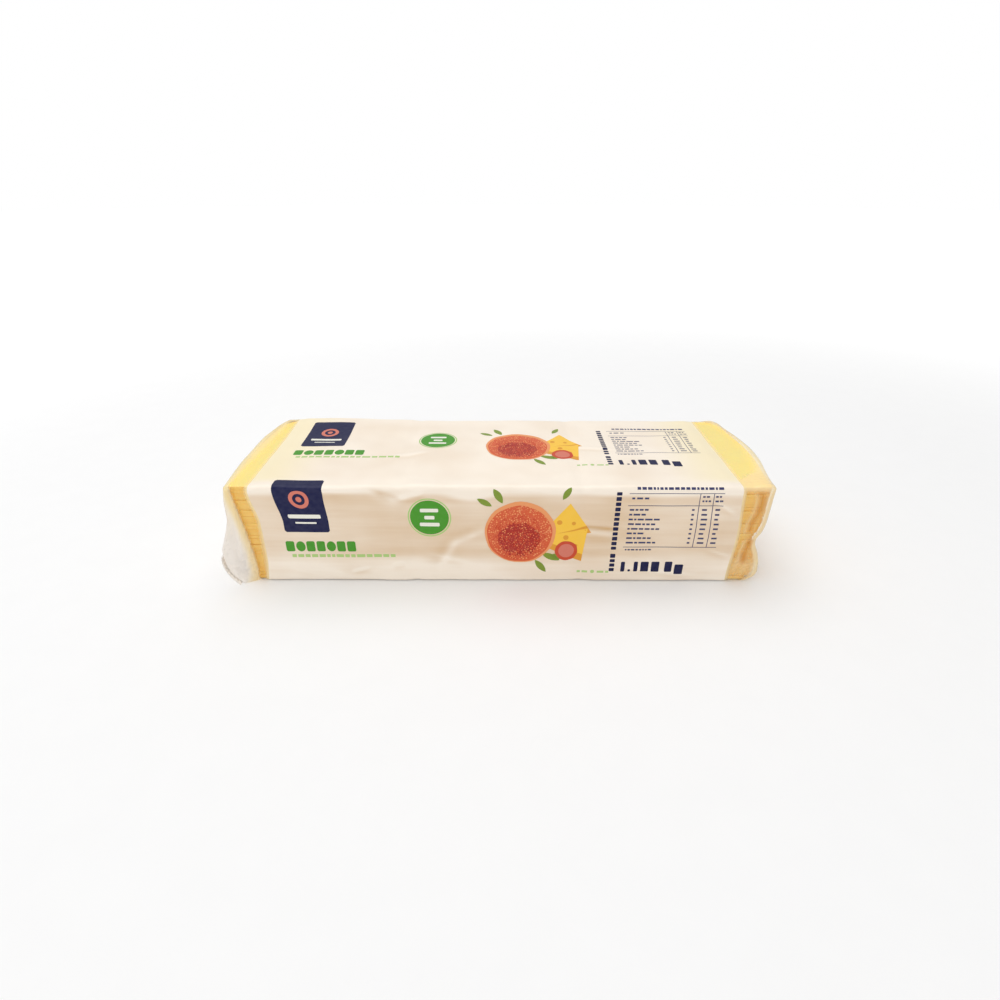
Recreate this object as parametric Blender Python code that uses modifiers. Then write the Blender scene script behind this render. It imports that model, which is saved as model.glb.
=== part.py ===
"""Film-wrapped block of sliced processed cheese, about 1.15 kg.

Stacks of square slices stand side by side in one tight flow-wrap film, so the
block is one soft-edged bar that draws in a little at the seams between stacks.
The film's ends are gathered to flat fin seals. The left end is loose: its film
slopes out to the seal, which hangs down to the table. The right end is tight:
it has a tuck between two lobes, and its seal is folded flat over the lower one.

Units are metres. +X runs along the block to the viewer's right, -Y faces the
viewer, +Z is up, and the origin is the middle of the flat underside.
"""

import math

import bmesh
import bpy
from mathutils import Vector

MM = 0.001

# Driving dimensions of the wrapped block, without its closures
LENGTH = 250.0 * MM
DEPTH = 87.0 * MM
HEIGHT = 52.6 * MM
BACK_CORNER = 8.0 * MM

# Stacks of slices, and the seams between them where the film draws in
STACKS = 3
SEAM_HALF = 5.0 * MM
SEAM_PINCH = 0.6 * MM
SAG_OF_SEAM = 0.4 * MM

# Loose closure at the left end: a wedge of film that runs out to its fin seal
LEFT_TOP_REACH = 4.0 * MM
LEFT_SHOULDER_REACH = 6.0 * MM
LEFT_SHOULDER_HEIGHT = 33.0 * MM
LEFT_BOW = 2.2 * MM
SEAL_HEIGHT = 14.0 * MM
SEAL_REACH = 12.0 * MM
LEFT_FOOT_REACH = 5.5 * MM
GUSSET_DIP = 1.2 * MM
FIN_THICK = 1.6 * MM
FIN_CLEARANCE = 0.4 * MM
FIN_TUCK_IN = 7.0 * MM
EAR_FORWARD = 4.5 * MM
EAR_LENGTH = 14.0 * MM

# Tight closure at the right end: two lobes, a tuck between them, a folded fin
RIGHT_REACH = 1.6 * MM
RIGHT_BOW = 5.5 * MM
TUCK_HEIGHT = 22.0 * MM
TUCK_DEPTH = 7.0 * MM
TUCK_HALF = 8.0 * MM
TUCK_PINCH = 2.5 * MM
LOWER_LOBE = 0.8 * MM
LOBE_HEIGHT = 10.0 * MM
FLAP_TOP = 19.0 * MM
FLAP_FOOT = 6.0 * MM
FLAP_THICK = 1.6 * MM
FLAP_MARGIN = 9.0 * MM

# The end shapes fade into the straight block over this length
END_BLEND = 20.0 * MM

CUTS_ACROSS = (-41.5, -37.5, -28.0, -14.0, 0.0, 14.0, 28.0, 37.5, 41.5)
CUTS_UP = (1.8, 6.0, 10.0, 14.0, 18.0, 22.0, 26.5, 32.0, 40.0, 47.0, 50.6)

FILM_COLOUR = (0.92, 0.80, 0.55, 1.0)
FILM_ROUGHNESS = 0.3
FILM_METALLIC = 0.0


def clear_scene():
    """Remove whatever the scene holds at the start."""
    for old in list(bpy.data.objects):
        bpy.data.objects.remove(old, do_unlink=True)


def new_collection(name):
    """A collection of its own in the scene."""
    collection = bpy.data.collections.new(name)
    bpy.context.scene.collection.children.link(collection)
    return collection


def smooth_step(value, low, high):
    """0 below low, 1 above high, and an S-curve between."""
    t = min(max((value - low) / (high - low), 0.0), 1.0)
    return t * t * (3.0 - 2.0 * t)


def hump(value, middle, half):
    """1 at the middle, falling smoothly to 0 at a distance of half."""
    return 1.0 - smooth_step(abs(value - middle), 0.0, half)


def between(value, points):
    """Read a height-to-reach profile, given as (height, reach) points from the bottom up."""
    for (low, start), (high, end) in zip(points, points[1:]):
        if value <= high:
            share = (value - low) / (high - low)
            return start + (end - start) * share
    return points[-1][1]


def block_stations():
    """Where loop cuts cross the block's length: its seams, and a few in each stack."""
    stack = LENGTH / STACKS
    places = []
    for index in range(STACKS):
        start = index * stack - LENGTH / 2
        places += [start, start + SEAM_HALF, start + stack * 0.25, start + stack * 0.5]
        places += [start + stack * 0.75, start + stack - SEAM_HALF]
    return places[1:]


def cut_box(size, centre, along, across, up):
    """A box with loop cuts at the given places along X, Y and Z, as a bmesh."""
    mesh = bmesh.new()
    bmesh.ops.create_cube(mesh, size=1.0)
    bmesh.ops.scale(mesh, vec=size, verts=mesh.verts)
    bmesh.ops.translate(mesh, vec=centre, verts=mesh.verts)
    for axis, places in enumerate((along, across, up)):
        normal = Vector((0.0, 0.0, 0.0))
        normal[axis] = 1.0
        for place in places:
            everything = list(mesh.verts) + list(mesh.edges) + list(mesh.faces)
            bmesh.ops.bisect_plane(
                mesh, geom=everything, plane_co=normal * place, plane_no=normal
            )
    return mesh


def as_object(mesh, name, collection):
    """Turn a bmesh into a named object in a collection."""
    bmesh.ops.recalc_face_normals(mesh, faces=mesh.faces)
    data = bpy.data.meshes.new(name)
    mesh.to_mesh(data)
    mesh.free()
    made = bpy.data.objects.new(name, data)
    collection.objects.link(made)
    return made


def corner_inset(y):
    """How far an end draws in at depth y, from the rounded corner at the back."""
    past = max(y - (DEPTH / 2 - BACK_CORNER), 0.0) / BACK_CORNER
    return BACK_CORNER * (1.0 - math.sqrt(1.0 - min(past, 1.0) ** 2))


def bow(y):
    """1 at the middle of the depth, falling to 0 at the front and back faces."""
    return 1.0 - (2.0 * y / DEPTH) ** 2


def left_reach(y, z):
    """How far the loose wedge of film stands out past the block at (y, z)."""
    profile = (
        (0.0, LEFT_FOOT_REACH),
        (SEAL_HEIGHT, SEAL_REACH),
        (LEFT_SHOULDER_HEIGHT, LEFT_SHOULDER_REACH),
        (HEIGHT, LEFT_TOP_REACH),
    )
    rounding = (LEFT_BOW * bow(y) - corner_inset(y)) * smooth_step(z, SEAL_HEIGHT, HEIGHT)
    return between(z, profile) + rounding


def shape_left_end(place):
    """Slope the film out to the fin seal, and dip the gussets at the sides."""
    x, y, z = place
    share = smooth_step(-x, LENGTH / 2 - END_BLEND, LENGTH / 2)
    dip = GUSSET_DIP * share * hump(z, TUCK_HEIGHT, TUCK_HALF * 2) * abs(y) / (DEPTH / 2)
    place.x -= share * left_reach(y, z)
    place.y -= math.copysign(dip, y)


def right_reach(y, z):
    """How far the tight end stands out past the block at (y, z)."""
    tuck = TUCK_DEPTH * max(0.0, 1.0 - abs(z - TUCK_HEIGHT) / TUCK_HALF)
    lobe = LOWER_LOBE * hump(z, LOBE_HEIGHT, LOBE_HEIGHT)
    return RIGHT_REACH + RIGHT_BOW * bow(y) + lobe - tuck - corner_inset(y)


def shape_right_end(place):
    """Bow the end, and push in the tuck between its two lobes."""
    x, y, z = place
    share = smooth_step(x, LENGTH / 2 - END_BLEND, LENGTH / 2)
    pinch = TUCK_PINCH * share * hump(z, TUCK_HEIGHT, TUCK_HALF) * abs(y) / (DEPTH / 2)
    place.x += share * right_reach(y, z)
    place.y -= math.copysign(pinch, y)


def pinch_seams(place):
    """Draw the film in at the seams between the stacks, at the sides and on top."""
    stack = LENGTH / STACKS
    for seam in range(1, STACKS):
        depth = hump(place.x, seam * stack - LENGTH / 2, SEAM_HALF * 2)
        place.y *= 1.0 - depth * SEAM_PINCH / (DEPTH / 2)
        place.z *= 1.0 - depth * SAG_OF_SEAM / HEIGHT


def make_block(collection):
    """The block itself, with the closed film at both ends."""
    mesh = cut_box(
        (LENGTH, DEPTH, HEIGHT),
        (0.0, 0.0, HEIGHT / 2),
        block_stations(),
        [cut * MM for cut in CUTS_ACROSS],
        [cut * MM for cut in CUTS_UP],
    )
    for vert in mesh.verts:
        pinch_seams(vert.co)
        if vert.co.x < 0.0:
            shape_left_end(vert.co)
        else:
            shape_right_end(vert.co)
    block = as_object(mesh, "wrapped_block", collection)
    soften(block)
    return block


def soften(body):
    """Round a cage with one level of subdivision."""
    surface = body.modifiers.new("Rounding", "SUBSURF")
    surface.levels = 1
    surface.render_levels = 1
    body.data.shade_smooth()


def make_left_fin(collection):
    """The loose fin seal, hanging from the end of the wedge to the table."""
    top = SEAL_HEIGHT + FIN_THICK
    mesh = cut_box(
        (FIN_THICK, DEPTH, top - FIN_CLEARANCE),
        (0.0, 0.0, (top + FIN_CLEARANCE) / 2),
        (),
        [cut * MM for cut in CUTS_ACROSS],
        [cut * MM for cut in CUTS_UP if cut * MM < SEAL_HEIGHT],
    )
    for vert in mesh.verts:
        hang = 1.0 - vert.co.z / top
        ear = smooth_step(-vert.co.y, DEPTH / 2 - EAR_LENGTH, DEPTH / 2) * hang
        vert.co.x += FIN_TUCK_IN * hang * hang - LENGTH / 2 - SEAL_REACH + FIN_THICK / 2
        vert.co.y -= EAR_FORWARD * ear
    fin = as_object(mesh, "left_fin", collection)
    soften(fin)
    return fin


def make_right_flap(collection):
    """The right fin seal, folded down flat over the lower lobe."""
    half = DEPTH / 2 - FLAP_MARGIN
    mesh = cut_box(
        (FLAP_THICK * 2, half * 2, FLAP_TOP - FLAP_FOOT),
        (0.0, 0.0, (FLAP_TOP + FLAP_FOOT) / 2),
        (),
        [cut * MM for cut in CUTS_ACROSS if abs(cut * MM) < half],
        [cut * MM for cut in CUTS_UP if FLAP_FOOT < cut * MM < FLAP_TOP],
    )
    for vert in mesh.verts:
        vert.co.x += LENGTH / 2 + right_reach(vert.co.y, vert.co.z)
    flap = as_object(mesh, "right_flap", collection)
    soften(flap)
    return flap


def join_to(body, tool):
    """Fuse a closure onto the block, and keep the tool out of the model."""
    fuse = body.modifiers.new("Fuse " + tool.name, "BOOLEAN")
    fuse.operation = "UNION"
    fuse.object = tool
    tool.hide_render = True
    tool.display_type = "WIRE"


def film_material():
    """Pale yellow wrapping film over cheese."""
    material = bpy.data.materials.new("printed_film")
    material.use_nodes = True
    shader = material.node_tree.nodes["Principled BSDF"]
    shader.inputs["Base Color"].default_value = FILM_COLOUR
    shader.inputs["Roughness"].default_value = FILM_ROUGHNESS
    shader.inputs["Metallic"].default_value = FILM_METALLIC
    return material


def main():
    clear_scene()
    parts = new_collection("wrapped_cheese_block")
    cutters = new_collection("closure_tools")
    block = make_block(parts)
    join_to(block, make_left_fin(cutters))
    join_to(block, make_right_flap(cutters))
    block.data.materials.append(film_material())


main()
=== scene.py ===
"""Looks of a long block of sliced processed cheese, shut in its printed flow-wrap film.

The CAD solid gives the block's place and outer size. Inside it stand three stacks of
slices; round them goes one film, printed in the middle and clear at both ends, with a
loose crimped seal at the left end and one folded flat at the right. Sizes are in
millimetres in the part's own frame: +X along the block, -Y to the viewer, +Z up.
"""
import math
import random

import bmesh
import bpy
import numpy as np
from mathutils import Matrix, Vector


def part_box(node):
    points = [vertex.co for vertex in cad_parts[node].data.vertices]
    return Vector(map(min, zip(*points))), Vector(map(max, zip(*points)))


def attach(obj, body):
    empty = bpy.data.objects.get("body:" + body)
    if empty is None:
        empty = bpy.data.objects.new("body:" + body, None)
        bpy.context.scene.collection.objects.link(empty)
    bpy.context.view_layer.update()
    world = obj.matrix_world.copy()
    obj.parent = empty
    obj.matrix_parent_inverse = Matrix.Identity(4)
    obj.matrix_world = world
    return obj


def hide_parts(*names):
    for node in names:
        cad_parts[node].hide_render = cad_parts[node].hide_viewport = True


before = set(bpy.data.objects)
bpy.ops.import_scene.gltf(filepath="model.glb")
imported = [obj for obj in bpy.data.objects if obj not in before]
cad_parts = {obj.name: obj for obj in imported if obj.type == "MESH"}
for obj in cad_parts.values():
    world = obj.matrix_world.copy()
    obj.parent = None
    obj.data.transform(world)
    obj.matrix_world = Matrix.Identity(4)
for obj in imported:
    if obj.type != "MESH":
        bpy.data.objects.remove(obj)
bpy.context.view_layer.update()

# Stacks of slices
# Three stacks of thin square slices of processed cheddar stand side by side on the
# film's underside. The slices are cast in a sheet, cut and laid slice on slice, so each
# stack has fine grooves round its sides, and all of them lean a little to the left.
MM = 0.001
LENGTH = 250.0
DEPTH = 87.0
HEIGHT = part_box("wrapped_block")[1][2] / MM
FILM_GAP = 0.4
TOP_GAP = 0.9
STACK_SLICES = (29, 30, 29)
STACK_STEP = 80.9
FIRST_STACK_LEFT = -122.2
STACK_LEANS = (5.2, 1.5, 0.0)
LEAN_FROM = 10.0
STACK_BOWS = ((1.4, 0.0), (0.0, 0.0), (0.0, 3.6))
END_CLEARANCE = 1.1
SLICE_LONG = 80.6
SLICE_DEEP = 83.6
SLICE_CORNER = 2.5
SOFT_CORNER = 6.5
BACK_SQUEEZE = 3.2
CORNER_STEPS = 4
BOW_STEPS = 14
SLICE_EDGE = 0.1
SLICE_JITTER = 0.28
SLICE_TURN = 0.15

# Heights and how far the right end of the block stands out there, past its length
RIGHT_REACH = ((0.0, -3.2), (1.1, -1.4), (2.3, 1.0), (3.4, 2.1), (5.7, 2.8), (10.2, 2.6),
               (16.0, 0.9), (19.0, -0.4), (22.0, -1.6), (25.0, -1.4), (27.5, 0.3),
               (31.0, 1.2), (34.0, 1.6), (40.0, 1.8), (HEIGHT, 2.2))
PROFILE_BLUR = 1.0


def read_profile(height, points):
    """Reach at a height from a few (height, reach) points, with its bends softened."""
    heights, reaches = zip(*points)
    offsets = (-PROFILE_BLUR, -PROFILE_BLUR / 2, 0.0, PROFILE_BLUR / 2, PROFILE_BLUR)
    return sum(np.interp(height + offset, heights, reaches) for offset in offsets) / 5.0


def lean_share(z):
    """How far a leaning stack has slipped at a height: upright low down, then more."""
    return np.clip((z - LEAN_FROM) / (HEIGHT - LEAN_FROM), 0.0, 1.0) ** 1.3


def end_bow(y):
    """1 at the middle of the depth, easing to 0 at the front and back faces."""
    return 0.5 + 0.5 * np.cos(2.0 * np.pi * np.clip(y / DEPTH, -0.5, 0.5))


def paint(red, green, blue):
    """A colour seen as 8-bit red, green and blue, as linear values."""
    seen = [channel / 255.0 for channel in (red, green, blue)]
    return [c / 12.92 if c <= 0.04045 else ((c + 0.055) / 1.055) ** 2.4 for c in seen] + [1.0]


def put(tree, kind, inputs, **settings):
    """Add a node, set its properties, and feed its inputs with values or sockets."""
    node = tree.nodes.new(kind)
    for key, value in settings.items():
        setattr(node, key, value)
    for key, value in inputs.items():
        if isinstance(value, bpy.types.NodeSocket):
            tree.links.new(value, node.inputs[key])
        else:
            node.inputs[key].default_value = value
    return node


def new_material(name):
    """A material with an empty tree but for its output and a Principled shader."""
    material = bpy.data.materials.new(name)
    material.use_nodes = True
    tree = material.node_tree
    return material, tree, tree.nodes["Principled BSDF"]


def ride_as(piece):
    """Tie a piece to the body, and hide the block's solid, which the pieces stand in for."""
    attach(piece, "root")
    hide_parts("wrapped_block")


def cheese_material():
    """Smooth, faintly moist processed cheddar, a little paler or deeper slice by slice, its top
    painted paler as if lit.
    """
    material, tree, shader = new_material("processed_cheddar")
    place = put(tree, "ShaderNodeTexCoord", {})
    slice_tone = put(tree, "ShaderNodeAttribute", {}, attribute_name="slice_tone")
    mottle = put(tree, "ShaderNodeTexNoise", {
        "Vector": place.outputs["Object"], "Scale": 90.0, "Detail": 3.0})
    pores = put(tree, "ShaderNodeTexNoise", {
        "Vector": place.outputs["Object"], "Scale": 1400.0, "Detail": 2.0})
    mixed = put(tree, "ShaderNodeMath", {
        0: slice_tone.outputs["Fac"], 1: mottle.outputs["Fac"]}, operation="ADD")
    half = put(tree, "ShaderNodeMath", {0: mixed.outputs[0], 1: 0.5}, operation="MULTIPLY")
    side = put(tree, "ShaderNodeMix", {
        "Factor": half.outputs[0], 6: paint(248, 207, 110), 7: paint(247, 190, 84)},
        data_type="RGBA")
    # Painted light: the upward faces near the block's top get a paler yellow than the sides, as if
    # lit more from above; the mottle and the slice tones are the cheese's own.
    top = put(tree, "ShaderNodeMix", {
        "Factor": mottle.outputs["Fac"], 6: paint(253, 232, 140), 7: paint(253, 227, 129)},
        data_type="RGBA")
    facing = put(tree, "ShaderNodeNewGeometry", {})
    parts = put(tree, "ShaderNodeSeparateXYZ", {0: facing.outputs["Normal"]})
    upright = put(tree, "ShaderNodeMath", {0: parts.outputs["Z"]}, operation="ABSOLUTE")
    level = put(tree, "ShaderNodeMapRange", {
        "Value": upright.outputs[0], "From Min": 0.8, "From Max": 0.98})
    spot = put(tree, "ShaderNodeSeparateXYZ", {0: place.outputs["Object"]})
    painted_lit_top = put(tree, "ShaderNodeMapRange", {
        "Value": spot.outputs["Z"], "From Min": (HEIGHT - 4.5) * MM,
        "From Max": (HEIGHT - 3.5) * MM, "To Max": level.outputs[0]})
    colour = put(tree, "ShaderNodeMix", {
        "Factor": painted_lit_top.outputs[0], 6: side.outputs[2], 7: top.outputs[2]},
        data_type="RGBA")
    bump = put(tree, "ShaderNodeBump", {
        "Height": pores.outputs["Fac"], "Strength": 0.2, "Distance": 0.0002})
    tree.links.new(colour.outputs[2], shader.inputs["Base Color"])
    tree.links.new(bump.outputs["Normal"], shader.inputs["Normal"])
    shader.inputs["Roughness"].default_value = 0.42
    shader.inputs["Subsurface Weight"].default_value = 0.12
    shader.inputs["Subsurface Radius"].default_value = (0.006, 0.003, 0.001)
    return material


def slice_outline(left_bow, right_bow):
    """Plan of a slice: square with rounded corners, its ends bowed where film draws it."""
    half_long, half_deep = SLICE_LONG / 2, SLICE_DEEP / 2
    back_radius = SOFT_CORNER if left_bow or right_bow else SLICE_CORNER
    corners = ((1, -1, SLICE_CORNER), (1, 1, back_radius), (-1, 1, back_radius),
               (-1, -1, SLICE_CORNER))
    outline = []
    for index, (way_x, way_y, radius) in enumerate(corners):
        for step in range(CORNER_STEPS + 1):
            angle = math.radians(90.0 * (index - 1 + step / CORNER_STEPS))
            outline.append((way_x * (half_long - radius) + radius * math.cos(angle),
                            way_y * (half_deep - radius) + radius * math.sin(angle)))
        if way_x != way_y:
            along = half_deep - SLICE_CORNER, back_radius - half_deep
            for step in range(1, BOW_STEPS):
                share = step / BOW_STEPS
                outline.append((way_x * half_long, -way_x * (along[0] * (1 - share)
                                                             + along[1] * share)))
    squeeze = BACK_SQUEEZE if left_bow else 0.0
    return [(x + right_bow * float(end_bow(y)) if x > 0 else
             x - left_bow * float(end_bow(y)) + squeeze * max(y / half_deep, 0.0) ** 2, y)
            for x, y in outline]


def slice_template(thickness, bows):
    """One slice with rounded corners and softened rims, resting on its own origin."""
    mesh = bmesh.new()
    low = -thickness / 2 * MM
    face = mesh.faces.new([mesh.verts.new((x * MM, y * MM, low)) for x, y in slice_outline(*bows)])
    raised = bmesh.ops.extrude_face_region(mesh, geom=[face])["geom"]
    top = [part for part in raised if isinstance(part, bmesh.types.BMVert)]
    bmesh.ops.translate(mesh, vec=(0.0, 0.0, thickness * MM), verts=top)
    bmesh.ops.recalc_face_normals(mesh, faces=mesh.faces)
    rims = [edge for edge in mesh.edges if edge.verts[0].co.z == edge.verts[1].co.z]
    bmesh.ops.bevel(mesh, geom=rims, offset=SLICE_EDGE * MM, segments=1, affect="EDGES")
    data = bpy.data.meshes.new("slice_template")
    mesh.to_mesh(data)
    mesh.free()
    return bpy.data.objects.new("slice_template", data)


def slice_places(index):
    """Middle of every slice of a stack: leaning, or following the film's end."""
    count = STACK_SLICES[index]
    thickness = (HEIGHT - FILM_GAP - TOP_GAP) / count
    heights = FILM_GAP + thickness * (np.arange(count) + 0.5)
    middle = FIRST_STACK_LEFT + SLICE_LONG / 2 + index * STACK_STEP
    across = middle - STACK_LEANS[index] * lean_share(heights)
    if index == len(STACK_SLICES) - 1:
        across = LENGTH / 2 + read_profile(heights, RIGHT_REACH) - END_CLEARANCE - SLICE_LONG / 2
    return thickness, [(x * MM, 0.0, z * MM) for x, z in zip(across, heights)]


def stack_tree():
    """Geometry Nodes tree that lays a slice on every point, each a little out of line."""
    tree = bpy.data.node_groups.new("slice_on_slice", "GeometryNodeTree")
    face = tree.interface
    face.new_socket("Geometry", in_out="INPUT", socket_type="NodeSocketGeometry")
    face.new_socket("Slice", in_out="INPUT", socket_type="NodeSocketObject")
    face.new_socket("Jitter", in_out="INPUT", socket_type="NodeSocketFloat")
    face.new_socket("Turn", in_out="INPUT", socket_type="NodeSocketFloat")
    face.new_socket("Seed", in_out="INPUT", socket_type="NodeSocketInt")
    face.new_socket("Cheese", in_out="INPUT", socket_type="NodeSocketMaterial")
    face.new_socket("Geometry", in_out="OUTPUT", socket_type="NodeSocketGeometry")
    given = tree.nodes.new("NodeGroupInput").outputs
    back = put(tree, "ShaderNodeMath", {0: given["Jitter"], 1: -1.0}, operation="MULTIPLY")
    low = put(tree, "ShaderNodeCombineXYZ", {"X": back.outputs[0], "Y": back.outputs[0]})
    high = put(tree, "ShaderNodeCombineXYZ", {"X": given["Jitter"], "Y": given["Jitter"]})
    slip = put(tree, "FunctionNodeRandomValue", {
        0: low.outputs[0], 1: high.outputs[0], "Seed": given["Seed"]}, data_type="FLOAT_VECTOR")
    moved = put(tree, "GeometryNodeSetPosition", {
        "Geometry": given["Geometry"], "Offset": slip.outputs[0]})
    other_way = put(tree, "ShaderNodeMath", {0: given["Turn"], 1: -1.0}, operation="MULTIPLY")
    turn = put(tree, "FunctionNodeRandomValue", {
        2: other_way.outputs[0], 3: given["Turn"], "Seed": given["Seed"]}, data_type="FLOAT")
    about_z = put(tree, "ShaderNodeCombineXYZ", {"Z": turn.outputs[1]})
    shape = put(tree, "GeometryNodeObjectInfo", {"Object": given["Slice"]})
    laid = put(tree, "GeometryNodeInstanceOnPoints", {
        "Points": moved.outputs[0], "Instance": shape.outputs["Geometry"],
        "Rotation": about_z.outputs[0]})
    tone = put(tree, "FunctionNodeRandomValue", {"Seed": given["Seed"]}, data_type="FLOAT")
    toned = put(tree, "GeometryNodeStoreNamedAttribute", {
        "Geometry": laid.outputs[0], "Name": "slice_tone", "Value": tone.outputs[1]},
        domain="INSTANCE", data_type="FLOAT")
    real = put(tree, "GeometryNodeRealizeInstances", {"Geometry": toned.outputs[0]})
    coated = put(tree, "GeometryNodeSetMaterial", {
        "Geometry": real.outputs[0], "Material": given["Cheese"]})
    put(tree, "NodeGroupOutput", {"Geometry": coated.outputs[0]})
    return tree


def settled(made, name):
    """The evaluated mesh of an object with Geometry Nodes, as a plain object."""
    graph = bpy.context.evaluated_depsgraph_get()
    data = bpy.data.meshes.new_from_object(made.evaluated_get(graph))
    data.name = name
    bpy.data.objects.remove(made, do_unlink=True)
    plain = bpy.data.objects.new(name, data)
    bpy.context.scene.collection.objects.link(plain)
    return plain


def feed(modifier, values):
    """Set a Geometry Nodes modifier's inputs by the identifiers of their sockets."""
    for item in modifier.node_group.interface.items_tree:
        if item.in_out == "INPUT" and item.name in values:
            modifier[item.identifier] = values[item.name]


cheddar = cheese_material()
laying = stack_tree()
for index, bows in enumerate(STACK_BOWS):
    thickness, places = slice_places(index)
    template = slice_template(thickness, bows)
    column = bpy.data.meshes.new("stack_places")
    column.from_pydata(places, [], [])
    carrier = bpy.data.objects.new("stack_places", column)
    bpy.context.scene.collection.objects.link(carrier)
    stacking = carrier.modifiers.new("Slices", "NODES")
    stacking.node_group = laying
    feed(stacking, {
        "Slice": template,
        "Jitter": SLICE_JITTER * MM,
        "Turn": math.radians(SLICE_TURN),
        "Seed": index,
        "Cheese": cheddar,
    })
    stack = settled(carrier, f"cheese_stack_{index + 1}")
    bpy.data.objects.remove(template, do_unlink=True)
    ride_as(stack)

# Film round the block
# One web of thin film, printed in the middle and clear at both ends, is drawn tight
# round the stacks and shut by a lap seam underneath. It is drawn here as one closed
# surface on a fine grid, which is then parted where the print stops.
GIRTH = 2 * (DEPTH + HEIGHT)
FRONT_TOP_RADIUS = 2.6
BACK_TOP_RADIUS = 2.8
BOTTOM_RADIUS = 1.4
END_EDGE_RADIUS = 1.6
BACK_CORNER = 8.0
PRINT_LEFT = -117.0
PRINT_RIGHT = 112.0
GRID = 1.0
LOWEST = 0.12
# Strength of the shading painted onto the creases: the print is painted lighter on their ridges as
# painted highlight, and darker in their valleys as painted shade.
CREASE_SHADE_TONE = 1.5

# Heights and how far the loose film stands out past the block's left end there
LEFT_REACH = ((0.0, 0.8), (3.0, 4.2), (5.1, 6.4), (9.6, 9.4), (13.3, 11.1), (17.0, 11.3),
              (22.0, 9.3), (28.4, 6.8), (34.0, 5.0), (44.0, 4.6), (HEIGHT, 3.0))
LEFT_BOW = 2.3
LEFT_BACK_DRAW = 7.0
LEFT_DRAW_FROM = 8.0
RIGHT_BOW = 5.4
BOW_FROM = 14.0
LEFT_DRAWN = 3.0
RIGHT_DRAWN = 1.2

# Creases of the printed film: start and end as x and girth distance, width, height
CREASES = (
    ((-104.0, -0.6), (-68.0, -1.6), 1.3, 0.45),
    ((-60.0, -1.5), (-47.0, -6.5), 1.3, -0.5),
    ((-47.0, -6.5), (-36.0, -2.5), 1.3, 0.5),
    ((-7.0, -23.0), (-15.0, -26.6), 1.5, 0.24),
    ((-12.0, -25.4), (-24.0, -31.0), 1.6, 0.32),
    ((-21.0, -28.6), (-30.0, -46.0), 1.8, 0.32),
    ((38.0, -21.0), (56.0, -22.8), 1.1, -0.55),
    ((40.0, -23.8), (57.0, -26.0), 1.8, 0.25),
    ((-74.0, -47.0), (-64.5, -44.6), 0.9, 0.45),
    ((-53.0, -43.2), (-47.0, -42.0), 0.9, 0.4),
    ((-102.0, -46.0), (-78.0, -48.0), 1.3, 0.3),
    ((-36.0, -36.0), (-14.0, -42.0), 1.4, 0.25),
    ((38.0, 46.0), (60.0, 44.0), 1.2, 0.35),
    ((-56.0, 34.0), (-38.0, 40.0), 1.3, 0.25),
    ((60.0, -44.0), (96.0, -49.0), 1.0, 0.3),
    ((98.0, -6.0), (110.0, -14.0), 0.9, 0.3),
    ((100.0, -34.0), (112.0, -38.0), 0.8, 0.3),
    ((-63.0, 112.0), (-51.0, 134.0), 1.1, 0.5),
    ((-20.0, 96.0), (10.0, 97.0), 1.2, 0.4),
    ((47.0, 103.0), (49.5, 123.0), 0.9, 0.4),
    ((95.0, 93.0), (109.0, 105.0), 1.0, 0.4),
    ((-110.0, 91.0), (-94.0, 99.5), 1.0, 0.45),
)


def smooth_step(value, low, high):
    """0 below low, 1 above high, and an S-curve between."""
    t = np.clip((value - low) / (high - low), 0.0, 1.0)
    return t * t * (3.0 - 2.0 * t)


def hump(value, middle, half):
    """1 at the middle, falling smoothly to 0 at a distance of half."""
    return 1.0 - smooth_step(np.abs(value - middle), 0.0, half)


def corner_inset(y):
    """How far an end draws in at depth y, from the rounded corner at the back."""
    past = np.clip((y - (DEPTH / 2 - BACK_CORNER)) / BACK_CORNER, 0.0, 1.0)
    return BACK_CORNER * (1.0 - np.sqrt(1.0 - past ** 2))


def left_end(y, z):
    """Where the loose film's end stands at (y, z), to the left of the block."""
    front = np.clip((-4.0 - y) / (DEPTH / 2 - 4.0), 0.0, 1.0) ** 2
    back = np.clip((y - LEFT_DRAW_FROM) / (DEPTH / 2 - LEFT_DRAW_FROM), 0.0, 1.0) ** 2
    rounding = LEFT_BOW * (1.0 - front) - LEFT_BACK_DRAW * back
    return -LENGTH / 2 - read_profile(z, LEFT_REACH) - rounding * smooth_step(z, BOW_FROM, HEIGHT)


def right_end(y, z):
    """Where the tight film's end stands at (y, z), to the right of the block."""
    return (LENGTH / 2 + read_profile(z, RIGHT_REACH) + RIGHT_BOW * end_bow(y)
            - corner_inset(y))


# Sides of the section: start corner, direction, length, radius at its start and end
SIDES = (
    ((-DEPTH / 2, 0.0), (0.0, 1.0), HEIGHT, BOTTOM_RADIUS, FRONT_TOP_RADIUS),
    ((-DEPTH / 2, HEIGHT), (1.0, 0.0), DEPTH, FRONT_TOP_RADIUS, BACK_TOP_RADIUS),
    ((DEPTH / 2, HEIGHT), (0.0, -1.0), HEIGHT, BACK_TOP_RADIUS, BOTTOM_RADIUS),
    ((DEPTH / 2, 0.0), (-1.0, 0.0), DEPTH, BOTTOM_RADIUS, BOTTOM_RADIUS),
)


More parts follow.
